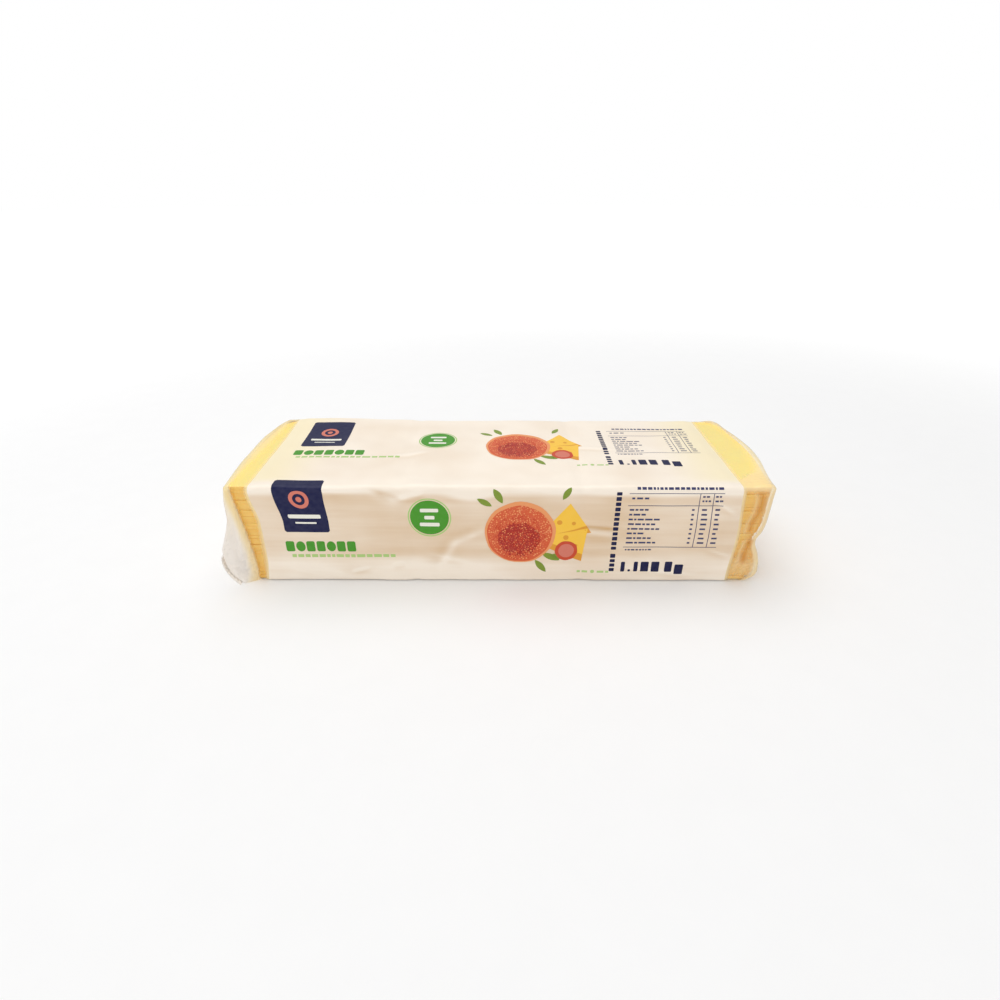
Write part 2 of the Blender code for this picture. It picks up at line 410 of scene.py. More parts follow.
def section(girth):
    """Point (y, z) and outward normal (y, z) of the section, by distance round it.

    The distance is 0 at the front top edge; it grows over the top and falls down the
    front. Corners are arcs, which the distance runs round evenly."""
    place = np.mod(girth + HEIGHT, GIRTH)
    point = np.zeros(place.shape + (2,))
    normal = np.zeros(place.shape + (2,))
    start = 0.0
    for corner, direction, length, first_radius, last_radius in SIDES:
        along = np.array(direction)
        out = np.array((-direction[1], direction[0]))
        here = (place >= start) & (place <= start + length)
        s = place[here] - start
        radius = np.where(s < length / 2, first_radius, last_radius)
        to_corner = np.minimum(s, length - s)
        turn = np.radians(45.0) * np.clip(1.0 - to_corner / radius, 0.0, 1.0)
        way = np.where(s < length / 2, -1.0, 1.0)
        faces = np.cos(turn)[:, None] * out + (way * np.sin(turn))[:, None] * along
        inner = np.clip(s, first_radius, length - last_radius)
        centre = np.array(corner) + inner[:, None] * along - radius[:, None] * out
        point[here] = centre + radius[:, None] * faces
        normal[here] = faces
        start += length
    return point, normal


def crease(x, girth, start, end, width, height):
    """A pinched fold between two points, with a shallow valley along one side of it."""
    run = np.array(end) - np.array(start)
    length = np.hypot(*run)
    away_x = x - start[0]
    away_girth = np.mod(girth - start[1] + GIRTH / 2, GIRTH) - GIRTH / 2
    along = (away_x * run[0] + away_girth * run[1]) / length ** 2
    across = (away_x * run[1] - away_girth * run[0]) / length
    taper = smooth_step(along, -0.15, 0.3) * (1.0 - smooth_step(along, 0.7, 1.15))
    ridge = np.exp(-(across / width) ** 2)
    valley = np.exp(-((across - 2.2 * width) / (1.6 * width)) ** 2)
    return height * taper * (ridge - 0.45 * valley)


def soft_waves(x, girth):
    """Slow unevenness of a film drawn over slices that don't quite line up."""
    total = 0.10 * np.sin(x * 0.11 + 0.7) * np.sin(girth * 0.09 + 0.4)
    total += 0.07 * np.sin(x * 0.047 + girth * 0.21 + 1.9)
    total += 0.06 * np.sin(x * 0.19 - girth * 0.13 + 4.0)
    return total + 0.04 * np.sin(x * 0.31 + girth * 0.37)


def slice_bands(x, girth):
    """Long shallow steps on the front and back, where some slices stand out more."""
    side = hump(np.mod(girth + HEIGHT, GIRTH), HEIGHT / 2, HEIGHT / 2)
    side = side + hump(girth, DEPTH + HEIGHT / 2, HEIGHT / 2)
    drift = 1.2 * np.sin(x * 0.035 + 0.6)
    bands = np.sin((girth + drift) * 1.1) + 0.7 * np.sin((girth - drift) * 0.62 + 1.3)
    return 0.05 * bands * side


def seam_pinch(x, girth):
    """The film sinks a little into the two seams between the stacks."""
    total = 0.0
    for seam in (1, 2):
        middle = FIRST_STACK_LEFT + seam * STACK_STEP
        lean = STACK_LEANS[seam - 1] * lean_share(section(girth)[0][..., 1])
        total = total - 0.35 * hump(x, middle - lean, 5.0)
    return total


def edge_wave(x, girth):
    """The slack stretch of the front top edge, left of the middle."""
    near = hump(girth, 0.0, 9.0)
    dent = -0.55 * hump(x, -50.0, 9.0) + 0.6 * hump(x, -36.0, 12.0)
    return near * (dent - 0.25 * hump(x, -84.0, 14.0) + 0.2 * hump(x, 62.0, 20.0))


def back_swell(x, girth):
    """Air under the top film along the left of the back edge."""
    return 1.5 * hump(x, -92.0, 62.0) * hump(girth, DEPTH - 2.0, 32.0)


def end_cling(x, girth):
    """The top film comes down on the cheese where the print stops."""
    upward = np.maximum(section(girth)[1][..., 1], 0.0)
    away = np.abs(x - (PRINT_LEFT + PRINT_RIGHT) / 2) - (PRINT_RIGHT - PRINT_LEFT) / 2
    return -0.5 * upward * smooth_step(away, -6.0, 0.0) * (1.0 - smooth_step(away, 5.0, 9.0))


def crease_relief(x, girth):
    """All the creases of the printed film together."""
    total = np.zeros(np.shape(x))
    for start, end, width, height in CREASES:
        total = total + crease(x, girth, start, end, width, height)
    return total


def relief(x, girth):
    """How far the film stands proud of the plain section, at every place."""
    total = soft_waves(x, girth) + slice_bands(x, girth) + seam_pinch(x, girth)
    total = total + edge_wave(x, girth) + back_swell(x, girth) + end_cling(x, girth)
    return total + crease_relief(x, girth)


def drawn(x, girth):
    """How far the film is drawn along the block where it was pulled tight at its ends."""
    girth = np.where(girth > HEIGHT + 1.5 * DEPTH, girth - GIRTH, girth)
    front = smooth_step(-girth, 2.0, 20.0) * (1.0 - smooth_step(-girth, 36.0, HEIGHT + 14.0))
    left = LEFT_DRAWN * front * (1.0 - smooth_step(x, PRINT_LEFT, PRINT_LEFT + 60.0))
    return left + RIGHT_DRAWN * hump(girth, -HEIGHT / 2, 24.0) * smooth_step(x, 70.0, PRINT_RIGHT)


def film_point(x, girth):
    """Place in space of a point of the printed film."""
    point, normal = section(girth)
    yz = point + normal * relief(x, girth)[..., None]
    return np.stack([x + drawn(x, girth), yz[..., 0], np.maximum(yz[..., 1], LOWEST)], axis=-1)


def stations(length, first_radius, last_radius):
    """Places along a side: close together round its corners, evenly spaced between."""
    first = [first_radius * share for share in (0.0, 0.34, 0.67)]
    last = [length - last_radius * share for share in (0.67, 0.34, 0.0)]
    steps = round((length - first_radius - last_radius) / GRID)
    between = np.linspace(first_radius, length - last_radius, steps + 1)
    return np.array(first + list(between) + last)


UP = stations(HEIGHT, BOTTOM_RADIUS, FRONT_TOP_RADIUS)
ACROSS = stations(DEPTH, FRONT_TOP_RADIUS, BACK_TOP_RADIUS)
FRONT_ROWS = UP - HEIGHT
TOP_ROWS = ACROSS
BACK_ROWS = DEPTH + HEIGHT - UP[::-1]
BOTTOM_ROWS = 2 * DEPTH + HEIGHT - ACROSS[::-1]
ROWS = np.concatenate([FRONT_ROWS[:-1], TOP_ROWS[:-1], BACK_ROWS[:-1], BOTTOM_ROWS[:-1]])
PRINT_COLUMNS = np.linspace(PRINT_LEFT, PRINT_RIGHT, round((PRINT_RIGHT - PRINT_LEFT) / GRID) + 1)
END_COLUMNS = 16


def ear_fan(x, z, corner_x, corner_z, folds):
    """Pleats that run together at the corner of a seal, on the film beside it."""
    angle = np.arctan2(z - corner_z, x - corner_x)
    away = np.hypot(x - corner_x, z - corner_z)
    total = 0.0
    for middle, width, height in folds:
        total = total + height * np.exp(-((angle - middle) / width) ** 2)
    return total * smooth_step(away, 0.5, 7.0) * (1.0 - 0.6 * smooth_step(away, 22.0, 50.0))


LEFT_FAN = ((0.25, 0.07, 0.5), (0.5, 0.06, -0.4), (0.74, 0.06, 0.7), (0.95, 0.05, -0.6),
            (1.12, 0.05, 0.8), (1.3, 0.045, -0.7), (1.43, 0.04, 0.8), (1.56, 0.04, -0.5),
            (1.7, 0.05, 0.5))


SEAL_HEIGHT = 14.6
EAR_FORWARD = 5.0
EAR_LENGTH = 16.0
EAR_ROOT = 8.0


def ear_forward(y, z):
    """How far the loose seal's front end sticks out, with the film that runs into it."""
    ear = smooth_step(-y, DEPTH / 2 - EAR_LENGTH, DEPTH / 2)
    return EAR_FORWARD * ear * np.clip(1.0 - z / SEAL_HEIGHT, 0.0, 1.0) ** 0.8


def web_relief(x, z):
    """Loose film beside the cheese at the left end: it sinks in, and pleats fan out."""
    loose = smooth_step(-x, 119.5, 126.0)
    sag = -1.6 * loose * hump(z, 24.0, 22.0) * hump(x, -128.0, 9.0)
    return sag + loose * ear_fan(x, z, -128.5, 0.5, LEFT_FAN)


# Heights, and where the arched fold in the tight film runs there
FOLD_LINE = ((11.7, 17.6, 22.6, 25.6, 28.3, 33.1, 38.6, 44.6, 48.6, 50.4),
             (119.1, 119.3, 119.9, 120.8, 119.2, 119.4, 121.2, 121.7, 121.2, 119.4))


def from_fold(x, z):
    """Distance to the right of the fold, and how much of a fold there is."""
    shown = smooth_step(z, 8.0, 13.0) * (1.0 - smooth_step(z, 49.0, 51.6))
    return x - np.interp(z, *FOLD_LINE), shown * (1.0 - 0.7 * hump(z, 26.0, 3.0))


def tuck_relief(x, z):
    """Side film folded in over the right end: an arched fold above a pinched tuck."""
    right, shown = from_fold(x, z)
    groove = -0.4 * shown * np.exp(-(right / 1.8) ** 2)
    crest = 0.3 * shown * np.exp(-((right + 2.8) / 1.2) ** 2)
    bulge = 0.7 * hump(x, 124.5, 4.0) * hump(z, 9.5, 7.0)
    lip = 0.5 * hump(x, 124.0, 2.5) * hump(z, 40.0, 14.0)
    pucker = 0.3 * np.sin(x * 1.7 + 1.6 * np.sin(z * 0.8)) * hump(z, 8.0, 9.0)
    return groove + crest + bulge + lip + pucker * smooth_step(x, 114.0, 117.0)


def end_round(to_edge):
    """Turn of the rounded edge between a side and an end, by distance from it."""
    return np.radians(45.0) * np.clip(1.0 - to_edge / END_EDGE_RADIUS, 0.0, 1.0)


def side_film(share, girth, left):
    """Film on the four long sides past the print: share 0 at the print, 1 at the end."""
    point, normal = section(girth)
    y, z = point[..., 0], point[..., 1]
    end = left_end(y, z) if left else right_end(y, z)
    start = PRINT_LEFT if left else PRINT_RIGHT
    start = start + drawn(np.full(girth.shape, start), girth)
    x = start + (end - start) * share
    to_edge = np.abs(end - x)
    turn = end_round(to_edge)
    slip = (END_EDGE_RADIUS * (np.sin(turn) - 1.0) + to_edge) * (turn > 0)
    on_side = np.abs(normal[..., 0])
    pleats = web_relief(x, z) if left else tuck_relief(x, z)
    proud = relief(x, girth) + pleats * on_side
    proud = proud - END_EDGE_RADIUS * (1.0 - np.cos(turn))
    x = x + slip * np.sign(end)
    yz = point + normal * proud[..., None]
    flare = ear_forward(y, z) * on_side * (1.0 - smooth_step(to_edge, 0.0, EAR_ROOT)) * left
    place = np.stack([x, yz[..., 0] - flare, np.maximum(yz[..., 1], LOWEST)], axis=-1)
    return place, proud


def end_inset(to_edge):
    """Inset and drop of an end's film near its rim, by distance from the rim."""
    turn = np.radians(45.0) * (1.0 + np.clip(to_edge / END_EDGE_RADIUS, 0.0, 1.0))
    inset = END_EDGE_RADIUS * (1.0 - np.cos(turn))
    plain = np.maximum(to_edge - END_EDGE_RADIUS, 0.0)
    return inset + plain, END_EDGE_RADIUS * (1.0 - np.sin(turn))


def left_cap_relief(y, z):
    """Loose film over the left end: wide pleats that run down to the seal."""
    inside = smooth_step(DEPTH / 2 - np.abs(y), 0.0, 6.0) * smooth_step(HEIGHT - z, 0.0, 5.0)
    pleats = 0.8 * np.sin(y * 0.42 + 0.9 * np.sin(z * 0.11)) * smooth_step(z, 8.0, 20.0)
    fine = 0.3 * np.sin(y * 1.13 + z * 0.22 + 1.0)
    under = -1.2 * hump(z, 6.0, 7.0)
    gusset = 2.6 * hump(np.abs(y), DEPTH / 2 - 9.0, 9.0) * hump(z, 20.0, 20.0)
    return (pleats + fine) * inside - under - gusset * inside


def right_cap_relief(y, z):
    """Tight film over the right end: two lobes with a sharp tuck and a few pleats."""
    inside = smooth_step(DEPTH / 2 - np.abs(y), 0.0, 5.0) * smooth_step(HEIGHT - z, 0.0, 4.0)
    tuck = -1.8 * np.exp(-((z - 23.0 - 0.03 * y) / 2.0) ** 2)
    pleats = 0.35 * np.sin(y * 0.55 + 0.4 * np.sin(z * 0.3)) * hump(z, 23.0, 20.0)
    fine = 0.14 * np.sin(y * 1.3 - z * 0.5 + 2.0)
    return (tuck + pleats + fine) * inside


def cap_film(left):
    """Film over an end, on the grid of depths and heights that its rim has."""
    y, z = np.meshgrid(ACROSS - DEPTH / 2, UP, indexing="ij")
    end = left_end(y, z) if left else right_end(y, z)
    cap = left_cap_relief(y, z) if left else right_cap_relief(y, z)
    inset_y, drop_y = end_inset(DEPTH / 2 - np.abs(y))
    inset_top, drop_top = end_inset(HEIGHT - z)
    inset_low, drop_low = end_inset(z)
    drop = np.maximum(np.maximum(drop_y, drop_top), drop_low)
    height = np.where(z > HEIGHT / 2, HEIGHT - inset_top, inset_low)
    depth = np.sign(y) * (DEPTH / 2 - inset_y) - ear_forward(y, z) * left
    x = end + np.sign(end) * (cap - drop)
    return np.stack([x, depth, height], axis=-1), cap


def tube_faces(columns, closed_rows):
    """Quads of a tube whose points run column by column, each a closed ring."""
    column, row = np.meshgrid(np.arange(columns - 1), np.arange(closed_rows), indexing="ij")
    here = column * closed_rows + row
    above = column * closed_rows + (row + 1) % closed_rows
    quads = [here, here + closed_rows, above + closed_rows, above]
    return np.stack(quads, axis=-1).reshape(-1, 4)


def cap_faces(rim_start, inner_start, facing):
    """Quads of an end: its rim is a ring of the tube, its inner points are its own."""
    across, up = len(ACROSS), len(UP)
    names = np.zeros((across, up), int)
    names[1:-1, 1:-1] = inner_start + np.arange((across - 2) * (up - 2)).reshape(across - 2, -1)
    ring = rim_start + np.arange(2 * (across + up) - 4)
    names[0, :] = ring[:up]
    names[:, -1] = ring[up - 1:up + across - 1]
    names[-1, ::-1] = ring[up + across - 2:2 * up + across - 2]
    names[1:, 0] = ring[2 * up + across - 3:][::-1]
    quads = [names[:-1, :-1], names[1:, :-1], names[1:, 1:], names[:-1, 1:]]
    return np.stack(quads[::facing], axis=-1).reshape(-1, 4)


def plain_mesh(name, points, faces, material):
    """A smooth object from points in millimetres and faces, without unused points."""
    used, renamed = np.unique(faces, return_inverse=True)
    data = bpy.data.meshes.new(name)
    quads = renamed.reshape(-1, 4)
    data.from_pydata((points[used] * MM).tolist(), [], quads.tolist())
    data.materials.append(material)
    data.shade_smooth()
    made = bpy.data.objects.new(name, data)
    bpy.context.scene.collection.objects.link(made)
    return made, used


def store(made, name, values):
    """Keep one value for each point of a mesh, for its material."""
    layer = made.data.attributes.new(name, "FLOAT", "POINT")
    layer.data.foreach_set("value", np.asarray(values, dtype=np.float32))


def film_ripple_group():
    """Small soft ripples of thin film, as a height for a Bump node."""
    group = bpy.data.node_groups.new("film_ripple", "ShaderNodeTree")
    group.interface.new_socket("Position", in_out="INPUT", socket_type="NodeSocketVector")
    group.interface.new_socket("Ripple Scale", in_out="INPUT", socket_type="NodeSocketFloat")
    group.interface.new_socket("Height", in_out="OUTPUT", socket_type="NodeSocketFloat")
    given = group.nodes.new("NodeGroupInput").outputs
    broad = put(group, "ShaderNodeTexNoise", {
        "Vector": given["Position"], "Scale": given["Ripple Scale"], "Detail": 2.0,
        "Distortion": 0.6})
    finer = put(group, "ShaderNodeMath", {0: given["Ripple Scale"], 1: 3.7}, operation="MULTIPLY")
    fine = put(group, "ShaderNodeTexNoise", {
        "Vector": given["Position"], "Scale": finer.outputs[0], "Detail": 1.0})
    less = put(group, "ShaderNodeMath", {0: fine.outputs["Fac"], 1: 0.3}, operation="MULTIPLY")
    both = put(group, "ShaderNodeMath", {0: broad.outputs["Fac"], 1: less.outputs[0]},
               operation="ADD")
    put(group, "NodeGroupOutput", {"Height": both.outputs[0]})
    return group


film_ripple = film_ripple_group()


def ripple_bump(tree, place, scale, strength, distance):
    """Place the film's ripples in a material and turn them into a normal."""
    ripple = put(tree, "ShaderNodeGroup", {}, node_tree=film_ripple)
    tree.links.new(place, ripple.inputs["Position"])
    ripple.inputs["Ripple Scale"].default_value = scale
    return put(tree, "ShaderNodeBump", {
        "Height": ripple.outputs["Height"], "Strength": strength, "Distance": distance})


def printed_film_material():
    """Cream-printed film: whiter where it stands off the cheese, warmer where it clings; the cling
    and fold shares also carry painted light and shade.
    """
    material, tree, shader = new_material("cream_printed_film")
    place = put(tree, "ShaderNodeTexCoord", {})
    cling_and_shade = put(tree, "ShaderNodeAttribute", {}, attribute_name="cling_and_shade")
    side = put(tree, "ShaderNodeAttribute", {}, attribute_name="side")
    fold = put(tree, "ShaderNodeAttribute", {}, attribute_name="fold")
    long_streaks = put(tree, "ShaderNodeMapping", {
        "Vector": place.outputs["Object"], "Scale": (9.0, 30.0, 120.0)})
    streaks = put(tree, "ShaderNodeTexNoise", {
        "Vector": long_streaks.outputs[0], "Scale": 1.0, "Detail": 3.0, "Roughness": 0.6})
    patches = put(tree, "ShaderNodeTexNoise", {
        "Vector": place.outputs["Object"], "Scale": 28.0, "Detail": 2.0})
    streak_share = put(tree, "ShaderNodeMapRange", {
        "Value": streaks.outputs["Fac"], "From Min": 0.35, "From Max": 0.65,
        "To Min": -0.22, "To Max": 0.22})
    on_side = put(tree, "ShaderNodeMath", {
        0: streak_share.outputs[0], 1: side.outputs["Fac"]}, operation="MULTIPLY")
    patch_share = put(tree, "ShaderNodeMapRange", {
        "Value": patches.outputs["Fac"], "From Min": 0.3, "From Max": 0.7,
        "To Min": -0.24, "To Max": 0.24})
    spread = put(tree, "ShaderNodeMath", {
        0: on_side.outputs[0], 1: patch_share.outputs[0]}, operation="ADD")
    # Painted highlight and shade: the fold attribute lightens the print on the creases' ridges and
    # darkens it in their valleys.
    folded = put(tree, "ShaderNodeMath", {0: fold.outputs["Fac"], 1: spread.outputs[0]},
                 operation="SUBTRACT")
    held = put(tree, "ShaderNodeMath", {
        0: cling_and_shade.outputs["Fac"], 1: folded.outputs[0]}, operation="SUBTRACT")
    share = put(tree, "ShaderNodeMath", {0: held.outputs[0], 1: 0.5}, operation="MULTIPLY",
                use_clamp=True)
    colour = put(tree, "ShaderNodeMix", {
        "Factor": share.outputs[0], 6: paint(253, 241, 225), 7: paint(207, 166, 111)},
        data_type="RGBA")
    tinge = put(tree, "ShaderNodeAttribute", {}, attribute_name="tinge")
    yellowed = put(tree, "ShaderNodeMix", {
        "Factor": tinge.outputs["Fac"], 6: colour.outputs[2], 7: paint(252, 238, 196)},
        data_type="RGBA")
    bump = ripple_bump(tree, place.outputs["Object"], 260.0, 0.25, 0.0002)
    tree.links.new(yellowed.outputs[2], shader.inputs["Base Color"])
    tree.links.new(bump.outputs["Normal"], shader.inputs["Normal"])
    shader.inputs["Roughness"].default_value = 0.32
    shader.inputs["Specular IOR Level"].default_value = 0.4
    return material


def clear_film_material():
    """Unprinted film: clear where it clings, milky and lit through where it is loose."""
    material, tree, shader = new_material("clear_film")
    place = put(tree, "ShaderNodeTexCoord", {})
    haze = put(tree, "ShaderNodeAttribute", {}, attribute_name="haze")
    bump = ripple_bump(tree, place.outputs["Object"], 320.0, 0.5, 0.0004)
    tree.links.new(bump.outputs["Normal"], shader.inputs["Normal"])
    warmth = put(tree, "ShaderNodeAttribute", {}, attribute_name="warmth")
    doubled = put(tree, "ShaderNodeAttribute", {}, attribute_name="doubled")
    warm = put(tree, "ShaderNodeMix", {
        "Factor": warmth.outputs["Fac"], 6: paint(250, 244, 236), 7: paint(255, 238, 184)},
        data_type="RGBA")
    # The doubled attribute turns the film deep amber: film lying double over the cheese, and at
    # the right end's folds and front also painted shade.
    colour = put(tree, "ShaderNodeMix", {
        "Factor": doubled.outputs["Fac"], 6: warm.outputs[2], 7: paint(212, 146, 58)},
        data_type="RGBA")
    tree.links.new(colour.outputs[2], shader.inputs["Base Color"])
    shader.inputs["Roughness"].default_value = 0.22
    through = put(tree, "ShaderNodeBsdfTranslucent", {"Color": colour.outputs[2]})
    milky = put(tree, "ShaderNodeMixShader", {
        0: 0.14, 1: shader.outputs[0], 2: through.outputs[0]})
    open_film = put(tree, "ShaderNodeBsdfTransparent", {})
    body = put(tree, "ShaderNodeMixShader", {
        0: haze.outputs["Fac"], 1: open_film.outputs[0], 2: milky.outputs[0]})
    gloss = put(tree, "ShaderNodeBsdfGlossy", {
        "Roughness": 0.12, "Normal": bump.outputs["Normal"]})
    facing = put(tree, "ShaderNodeFresnel", {"IOR": 1.15, "Normal": bump.outputs["Normal"]})
    from_inside = put(tree, "ShaderNodeNewGeometry", {}).outputs["Backfacing"]
    outside = put(tree, "ShaderNodeMath", {0: 1.0, 1: from_inside}, operation="SUBTRACT")
    shine = put(tree, "ShaderNodeMath", {0: facing.outputs[0], 1: outside.outputs[0]},
                operation="MULTIPLY")
    film = put(tree, "ShaderNodeMixShader", {
        0: shine.outputs[0], 1: body.outputs[0], 2: gloss.outputs[0]})
    tree.links.new(film.outputs[0], tree.nodes["Material Output"].inputs["Surface"])
    return material


share_left = np.linspace(1.0, 0.0, END_COLUMNS + 1)
share_right = np.linspace(0.0, 1.0, END_COLUMNS + 1)
left_sides, left_proud = side_film(*np.meshgrid(share_left[:-1], ROWS, indexing="ij"), True)
right_sides, right_proud = side_film(*np.meshgrid(share_right[1:], ROWS, indexing="ij"), False)
print_x, print_girth = np.meshgrid(PRINT_COLUMNS, ROWS, indexing="ij")
middle_film = film_point(print_x, print_girth)
left_cap, left_cap_proud = cap_film(True)
right_cap, right_cap_proud = cap_film(False)
film_points = np.concatenate([
    left_sides.reshape(-1, 3), middle_film.reshape(-1, 3), right_sides.reshape(-1, 3),
    left_cap[1:-1, 1:-1].reshape(-1, 3), right_cap[1:-1, 1:-1].reshape(-1, 3)])
rings = len(PRINT_COLUMNS) + 2 * END_COLUMNS
tube = tube_faces(rings, len(ROWS))
tube_points = rings * len(ROWS)
cap_points = (len(ACROSS) - 2) * (len(UP) - 2)
first_cap = cap_faces(0, tube_points, -1)
last_cap = cap_faces(tube_points - len(ROWS), tube_points + cap_points, 1)
left_quads = END_COLUMNS * len(ROWS)
print_quads = (len(PRINT_COLUMNS) - 1) * len(ROWS)

printed = printed_film_material()
clear = clear_film_material()
sleeve, sleeve_used = plain_mesh(
    "printed_sleeve", film_points, tube[left_quads:left_quads + print_quads], printed)
sleeve_at = film_points[sleeve_used]


def cling_and_shade_of(x, girth, z):
    """How closely the printed film clings to the cheese under it, from 0 to 1, with painted light
    mixed in.
    """
    on_front = (girth < 0) | (girth > DEPTH)
    # Partly film standing off the cheese and partly painted highlight: a whiter band along the
    # front top edge, wider in three stretches.
    slack = 3.6 * hump(x, -49.0, 8.0) + 3.2 * hump(x, -14.0, 17.0) + 1.2 * hump(x, 70.0, 30.0)
    below_edge = np.minimum(np.abs(girth), np.abs(girth - DEPTH)) - slack
    # Painted light: the print is lighter towards the bottom of the front, as if lit by the floor.
    low = 1.0 - 0.85 * (1.0 - smooth_step(z, 8.0, 19.0))
    tight = 0.95 - 0.2 * smooth_step(x, 50.0, 90.0)
    on_side = smooth_step(below_edge, 2.2, 5.6) * low * tight
    # Less on the top, so that the top stays paler than the front: partly painted light.
    on_top = 0.2 * smooth_step(np.minimum(girth, DEPTH - girth), 2.0, 16.0)
    return np.where(on_front, on_side, on_top)


def tinge_of(x, girth):
    """How yellow the print is near its ends on the top, where it is thin over cheese."""
    to_end = np.minimum(x - PRINT_LEFT, PRINT_RIGHT - x)
    on_top = smooth_step(girth, 3.0, 10.0) * (1.0 - smooth_step(girth, DEPTH - 3.0, DEPTH + 4.0))
    return 0.75 * on_top * (1.0 - smooth_step(to_end, 4.0, 34.0))


sleeve_girth = print_girth.reshape(-1)
sleeve_girth = np.where(sleeve_girth > DEPTH + HEIGHT + 0.01, sleeve_girth - GIRTH, sleeve_girth)
# Cling share with painted light in it: lighter low on the front, along the front top edge and on
# the top.
store(sleeve, "cling_and_shade", cling_and_shade_of(print_x.reshape(-1), print_girth.reshape(-1), sleeve_at[:, 2]))
store(sleeve, "side", np.abs(section(print_girth.reshape(-1))[1][:, 0]))
store(sleeve, "tinge", tinge_of(print_x.reshape(-1), sleeve_girth))
# Painted shading of the creases: lighter on ridges, darker in valleys.
store(sleeve, "fold", CREASE_SHADE_TONE * crease_relief(print_x.reshape(-1), print_girth.reshape(-1)))
ride_as(sleeve)

# Clear film at the ends
# Past the print the same film is clear. At the left it hangs loose from the cheese, so
# it is whitish, with pleats that run to the seal; at the right it clings to the cheese.
FAN_FOOT = (-128.5, 0.5)
VEIL_STARTS = (-2.8, -0.9)

# Depths, and how far the cheese shows bright through the top film there
BRIGHT_TO_LEFT = ((-40.0, 41.0), (-125.5, -121.7))
BRIGHT_TO_RIGHT = ((-44.0, -35.0, -31.0, -27.0, -21.0, -11.0, 5.0, 21.0, 32.0, 44.0),
                   (108.0, 112.5, 117.0, 122.4, 125.2, 127.3, 128.7, 126.9, 125.1, 119.0))


def over_top(z):
    """1 on the block's top face, 0 below its edges."""
    return smooth_step(z, HEIGHT - 3.0, HEIGHT - 1.0)


def near_print(x, edge):
    """1 where the clear film starts, fading out: a pale, soft rim beside the print, which hides
    the shaded gap under the print's edge as painted light.
    """
    return 1.0 - smooth_step(np.abs(x - edge), 0.2, 2.2)


def back_rim(y, z):
    """1 along the top's back edge, where the film turns away; the pale veil there hides the shaded
    gap beneath, as painted light.
    """
    return smooth_step(y, DEPTH / 2 - 6.0, DEPTH / 2 - 2.0) * smooth_step(z, 44.0, 48.0)


def left_look(points, proud):
    """Haze, warmth and doubling of the loose film: milky where it hangs off the cheese."""
    x, y, z = points.T
    cheese = FIRST_STACK_LEFT - STACK_LEANS[0] * lean_share(z)
    loose = smooth_step(cheese - x, *VEIL_STARTS)
    angle = np.arctan2(z - FAN_FOOT[1], x - FAN_FOOT[0])
    streaks = 0.07 * np.sin(angle * 46.0) + 0.05 * np.sin(angle * 91.0 + z * 0.1)
    side = loose * (0.95 + streaks + 0.06 * np.abs(proud))
    rim = smooth_step(np.interp(y, *BRIGHT_TO_LEFT) - x, -2.4, 2.4)
    past = smooth_step(cheese - STACK_BOWS[0][0] * end_bow(y) - x, *VEIL_STARTS)
    top = np.maximum(0.75 * rim, 0.95 * past)
    # Painted light: a pale veil along the top's back edge hides the shaded gap beneath.
    haze = np.maximum(0.03 + side + (top - side) * over_top(z), 0.9 * back_rim(y, z))
    edge = PRINT_LEFT + drawn(np.full(x.shape, PRINT_LEFT), np.where(y < 0.0, z - HEIGHT, 0.0))
    # Painted light: the pale rim by the print hides the shade under its edge.
    haze = np.maximum(haze, 0.85 * near_print(x, edge))
    warmth = 0.9 * (1.0 - smooth_step(cheese - x, -1.0, 4.0)) + 0.3 * smooth_step(z, 20.0, 48.0)
    warmth = np.maximum(over_top(z), np.minimum(warmth, 1.0))
    doubled = 0.22 * (1.0 - smooth_step(cheese - x, -1.0, 3.0)) * loose * (1.0 - over_top(z))
    return haze, np.maximum(warmth, 0.5 * near_print(x, edge)), doubled


